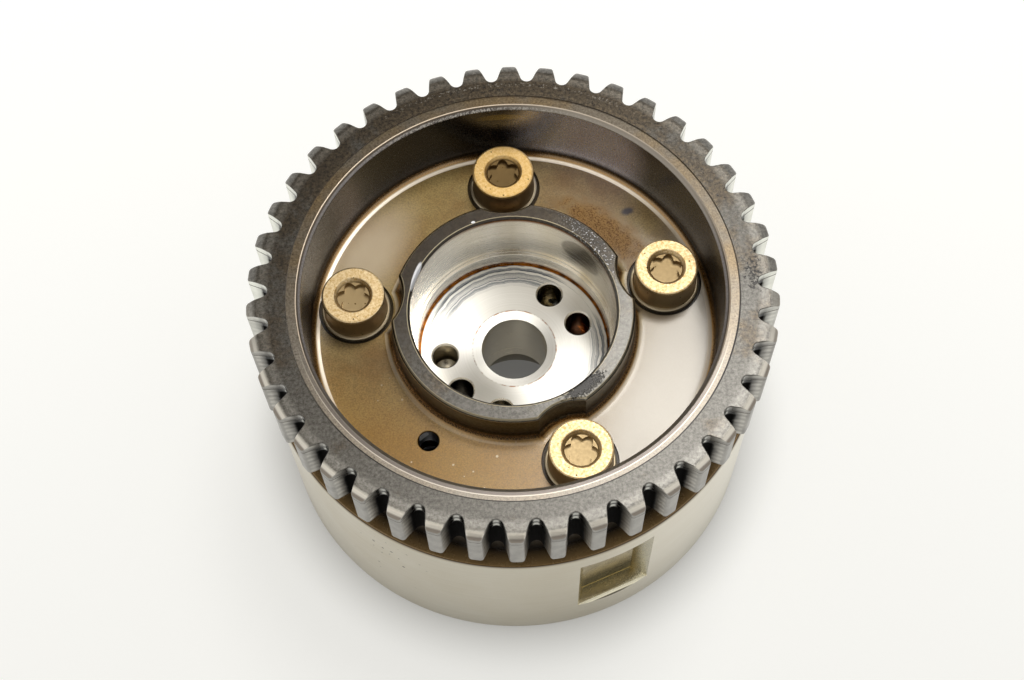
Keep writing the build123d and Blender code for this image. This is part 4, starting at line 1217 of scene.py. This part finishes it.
bolt = lathe("bolt", (
    (0, bolt_end), (shank_radius - 0.6, bolt_end), (shank_radius, bolt_end + 0.6),
    (shank_radius, seat_z), (flange_radius - 0.1, seat_z), (flange_radius, seat_z + 0.1),
    (flange_radius, flange_top - 0.25), (flange_radius - 0.07, flange_top - 0.08),
    (flange_radius - 0.25, flange_top), (head_radius + 0.12, flange_top), (head_radius, flange_top + 0.12),
    (head_radius, head_top - 0.36), (head_radius - 0.1, head_top - 0.1), (head_radius - 0.34, head_top),
    (mouth_radius + 0.1, head_top), (mouth_radius - 0.05, head_top - 0.07),
    (mouth_radius - 0.55, head_top - mouth_depth), (0, head_top - mouth_depth - 0.02),
), segments=128)
star = []
for step in range(6 * 16):
    turn = 2 * pi * step / (6 * 16)
    wave = 0.5 + 0.5 * cos(6 * turn)
    star.append((recess_waist + (lobe_radius - recess_waist) * wave ** 0.62, turn))
star = [(radius * cos(turn), radius * sin(turn)) for radius, turn in star]
recess = prism("recess", star, recess_floor, head_top + past)
shape = bmesh.new()
shape.from_mesh(recess.data)
shape.faces.ensure_lookup_table()
point = bmesh.ops.poke(shape, faces=[shape.faces[0]])["verts"][0]
point.co = (0, 0, (recess_floor + recess_point) * mm)
shape.to_mesh(recess.data)
shape.free()
cut_from(bolt, [recess])
face_outwards(bolt)
zinc, paint = new_paint("yellow_zinc_plating")
tree, given = new_tree("bolt_circle", (
    ("Circle radius", "NodeSocketFloat"),
    ("Bolt", "NodeSocketObject"),
    ("Plating", "NodeSocketMaterial"),
))
spread = add(tree, "ShaderNodeVectorMath",
             {0: add(tree, "GeometryNodeInputPosition"), "Scale": given.outputs["Circle radius"]},
             operation="SCALE")
moved = add(tree, "GeometryNodeSetPosition", {"Geometry": given.outputs["Geometry"], "Position": spread})
apart = add(tree, "ShaderNodeSeparateXYZ", {0: add(tree, "GeometryNodeInputPosition")})
swing = add(tree, "ShaderNodeMath", {0: apart.outputs["Y"], 1: apart.outputs["X"]}, operation="ARCTAN2")
swing = add(tree, "ShaderNodeCombineXYZ", {"Z": swing})
shape = add(tree, "GeometryNodeObjectInfo", {"Object": given.outputs["Bolt"]})
copies = add(tree, "GeometryNodeInstanceOnPoints",
             {"Points": moved, "Instance": shape.outputs["Geometry"], "Rotation": swing})
real = add(tree, "GeometryNodeRealizeInstances", {0: copies})
plated = add(tree, "GeometryNodeSetMaterial", {"Geometry": real, "Material": given.outputs["Plating"]})
add(tree, "NodeGroupOutput", {0: plated})
place, radius, height = measured(paint)
mottle = add(paint, "ShaderNodeTexNoise", {"Vector": place, "Scale": 2.2, "Detail": 7.0, "Roughness": 0.75})
depth = along(paint, place, 0, 1)
# Painted shade on the sides of the heads, lighter towards the front.
flank = coated(paint, "#75603f", ("#b09a74", (depth, 22.0, 0.0)))
colour = coated(
    # the far bolt painted a deeper gold, as painted shade
    paint, "#fbe6bd", ("#c9a566", (mottle, 0.36, 0.64)), ("#e2b14f", (depth, 10.0, 22.0, 0, 0.45)),
    (flank, (height, head_top - 0.35, head_top - 0.6)), ("#57431f", specks(paint, place, 0.9, 0.16)),
    # a painted highlight on the flanges
    ("#cfc4ab", (height, flange_top + 0.1, flange_top - 0.1)),
)
skin(paint, colour, (mottle, 0.3, 0.7, 0.36, 0.5), relief=((mottle, 0.5, 0.012),))
places = new_object("bolt_places", [(*around(1, angle), 0) for angle in bolt_angles], [])
bolts = grown(places, tree, {"Circle radius": bolt_circle * mm, "Bolt": bolt, "Plating": zinc}, "zinc_bolts")
bpy.data.objects.remove(bolt)

# The recess floors are painted paler than the heads, as painted light, and their walls and
# mouth chamfers take painted shade, darker higher up.
recess_zinc, paint = new_paint("bright_zinc_in_the_recess")
place, radius, height = measured(paint)
mottle = add(paint, "ShaderNodeTexNoise", {"Vector": place, "Scale": 0.9, "Detail": 4.0})
mouth_foot = head_top - mouth_depth
# Painted shade on the recess walls, darker higher up.
painted_wall = coated(paint, "#7d5c22", ("#33210a", (height, recess_floor + 0.2, recess_floor + 0.8)))
colour = coated(
    paint, "#fffbe0", ("#fff0b4", mottle), (painted_wall, (height, recess_floor + 0.05, recess_floor + 0.2)),
    # painted shade on the mouth's chamfer
    ("#8d7a49", (height, mouth_foot, mouth_foot + 0.1)),
)
bare = together(paint, (height, recess_floor + 0.05, recess_floor + 0.15, 1.0, 0.3))
skin(paint, colour, (height, recess_floor + 0.15, recess_floor + 0.05, 0.3, 0.22),
     values={"Metallic": bare})
bolts.data.materials.append(recess_zinc)
for face in bolts.data.polygons:
    x, y, z = face.center / mm
    reach = min(hypot(x - a, y - b) for a, b in (around(bolt_circle, angle) for angle in bolt_angles))
    if reach < mouth_radius and z > seat_z:
        face.material_index = 1
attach(bolts, "housing")
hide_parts("torx_bolts")


# Front cover
# A flat steel disc let into the drum's underside, ground on both faces, with the opening
# for the centre bolt's head and four threaded holes.
cover_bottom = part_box("front_cover")[0].z / mm
cover_radius = 37.9
cover_bore = 9.6
cover_edge = 0.5
thread_radius = 3.05
cover = lathe("cover_steel", (
    (cover_bore + cover_edge + 0.08, cover_bottom), (cover_bore + cover_edge - 0.06, cover_bottom + 0.05),
    (cover_bore + 0.05, cover_bottom + cover_edge - 0.06), (cover_bore, cover_bottom + cover_edge + 0.08),
    (cover_bore, cover_top), (cover_radius, cover_top), (cover_radius, cover_bottom + cover_edge),
    (cover_radius - cover_edge + 0.05, cover_bottom + 0.05), (cover_radius - cover_edge - 0.08, cover_bottom),
    (cover_bore + cover_edge + 0.08, cover_bottom),
), segments=512)
threads = []
for angle in bolt_angles:
    threads.append(lathe("thread", (
        (0, cover_bottom - past), (thread_radius + 0.3 + past, cover_bottom - past),
        (thread_radius, cover_bottom + 0.3), (thread_radius, cover_top + past), (0, cover_top + past),
    ), around(bolt_circle, angle), 64))
cut_from(cover, threads)
face_outwards(cover)
ground_disc, tree = new_paint("ground_steel_disc")
cover.data.materials.clear()
cover.data.materials.append(ground_disc)
place, radius, height = measured(tree)
rings = add(tree, "ShaderNodeTexNoise", {"W": radius, "Scale": 4.0, "Detail": 5.0, "Roughness": 0.7},
            noise_dimensions="1D")
cloud = add(tree, "ShaderNodeTexNoise", {"Vector": place, "Scale": 0.1, "Detail": 5.0, "Roughness": 0.6})
colour = coated(tree, "#bdb8ab", ("#a09683", (cloud, 0.35, 0.65)))
skin(tree, colour, (rings, 0.3, 0.7, 0.28, 0.4), relief=((rings, 0.4, 0.006),), turned=0.5)
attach(cover, "housing")
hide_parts("front_cover")


# Lock pin and other pins
# The lock pin, the bush that it drops into and the locating pin between sprocket and drum
# are hardened and ground. The pin's nose shows through the small hole in the cup.
hardened, tree = new_paint("hardened_ground_steel")
place, radius, height = measured(tree)
lines = streaked(tree, place, (0.4, 0.4, 6.0), 4.0, 0.6)
colour = coated(tree, "#c9cbd0", ("#9b9da3", lines))
skin(tree, colour, (lines, 0.3, 0.7, 0.08, 0.2), relief=((lines, 0.3, 0.003),))
for name in ("lock_pin", "lock_pin_bush", "locating_pin"):
    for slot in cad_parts[name].material_slots:
        slot.material = hardened


# Springs
# The lock pin's coil spring is drawn wire, dark from its heat treatment. It stands on its
# seat. The leaf springs behind the eight seals are stamped from rolled stainless strip.
wire, tree = new_paint("drawn_spring_wire")
place, radius, height = measured(tree)
scale = add(tree, "ShaderNodeTexNoise", {"Vector": place, "Scale": 4.0, "Detail": 5.0, "Roughness": 0.7})
colour = coated(tree, "#6a645c", ("#3d3a37", scale))
skin(tree, colour, (scale, 0.3, 0.7, 0.25, 0.4))
foot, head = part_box("lock_pin_spring")
shape = bmesh.new()
shape.from_mesh(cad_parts["lock_pin_spring"].data)
bmesh.ops.remove_doubles(shape, verts=shape.verts, dist=0.001 * mm)
coil = new_object("lock_spring_coil", [], [])
shape.to_mesh(coil.data)
shape.free()
coil.data.materials.clear()
coil.data.materials.append(wire)
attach(coil, "rotor")
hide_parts("lock_pin_spring")
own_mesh(coil)

strip, tree = new_paint("rolled_stainless_strip")
place, radius, height = measured(tree)
rolled = streaked(tree, place, (3.0, 3.0, 0.15), 4.0)
colour = coated(tree, "#cfccc5", ("#a9a59c", rolled))
skin(tree, colour, (rolled, 0.3, 0.7, 0.18, 0.32))
for name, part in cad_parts.items():
    if "seal_spring" in name:
        for slot in part.material_slots:
            slot.material = strip


# Seals
# Moulded strips of filled plastic, dark and faintly waxy, that close the gap at the tips of
# the vanes and lobes. The lock spring's seat is moulded from the same plastic.
plastic, tree = new_paint("moulded_filled_plastic")
place, radius, height = measured(tree)
fibres = streaked(tree, place, (6.0, 6.0, 1.2), 5.0)
colour = coated(tree, "#2b2724", ("#453f39", fibres))
skin(tree, colour, (fibres, 0.3, 0.7, 0.4, 0.55), relief=((fibres, 0.3, 0.01),),
     values={"Metallic": 0.0, "IOR": 1.5})
for name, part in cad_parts.items():
    if name == "spring_seat" or ("seal" in name and "spring" not in name):
        for slot in part.material_slots:
            slot.material = plastic
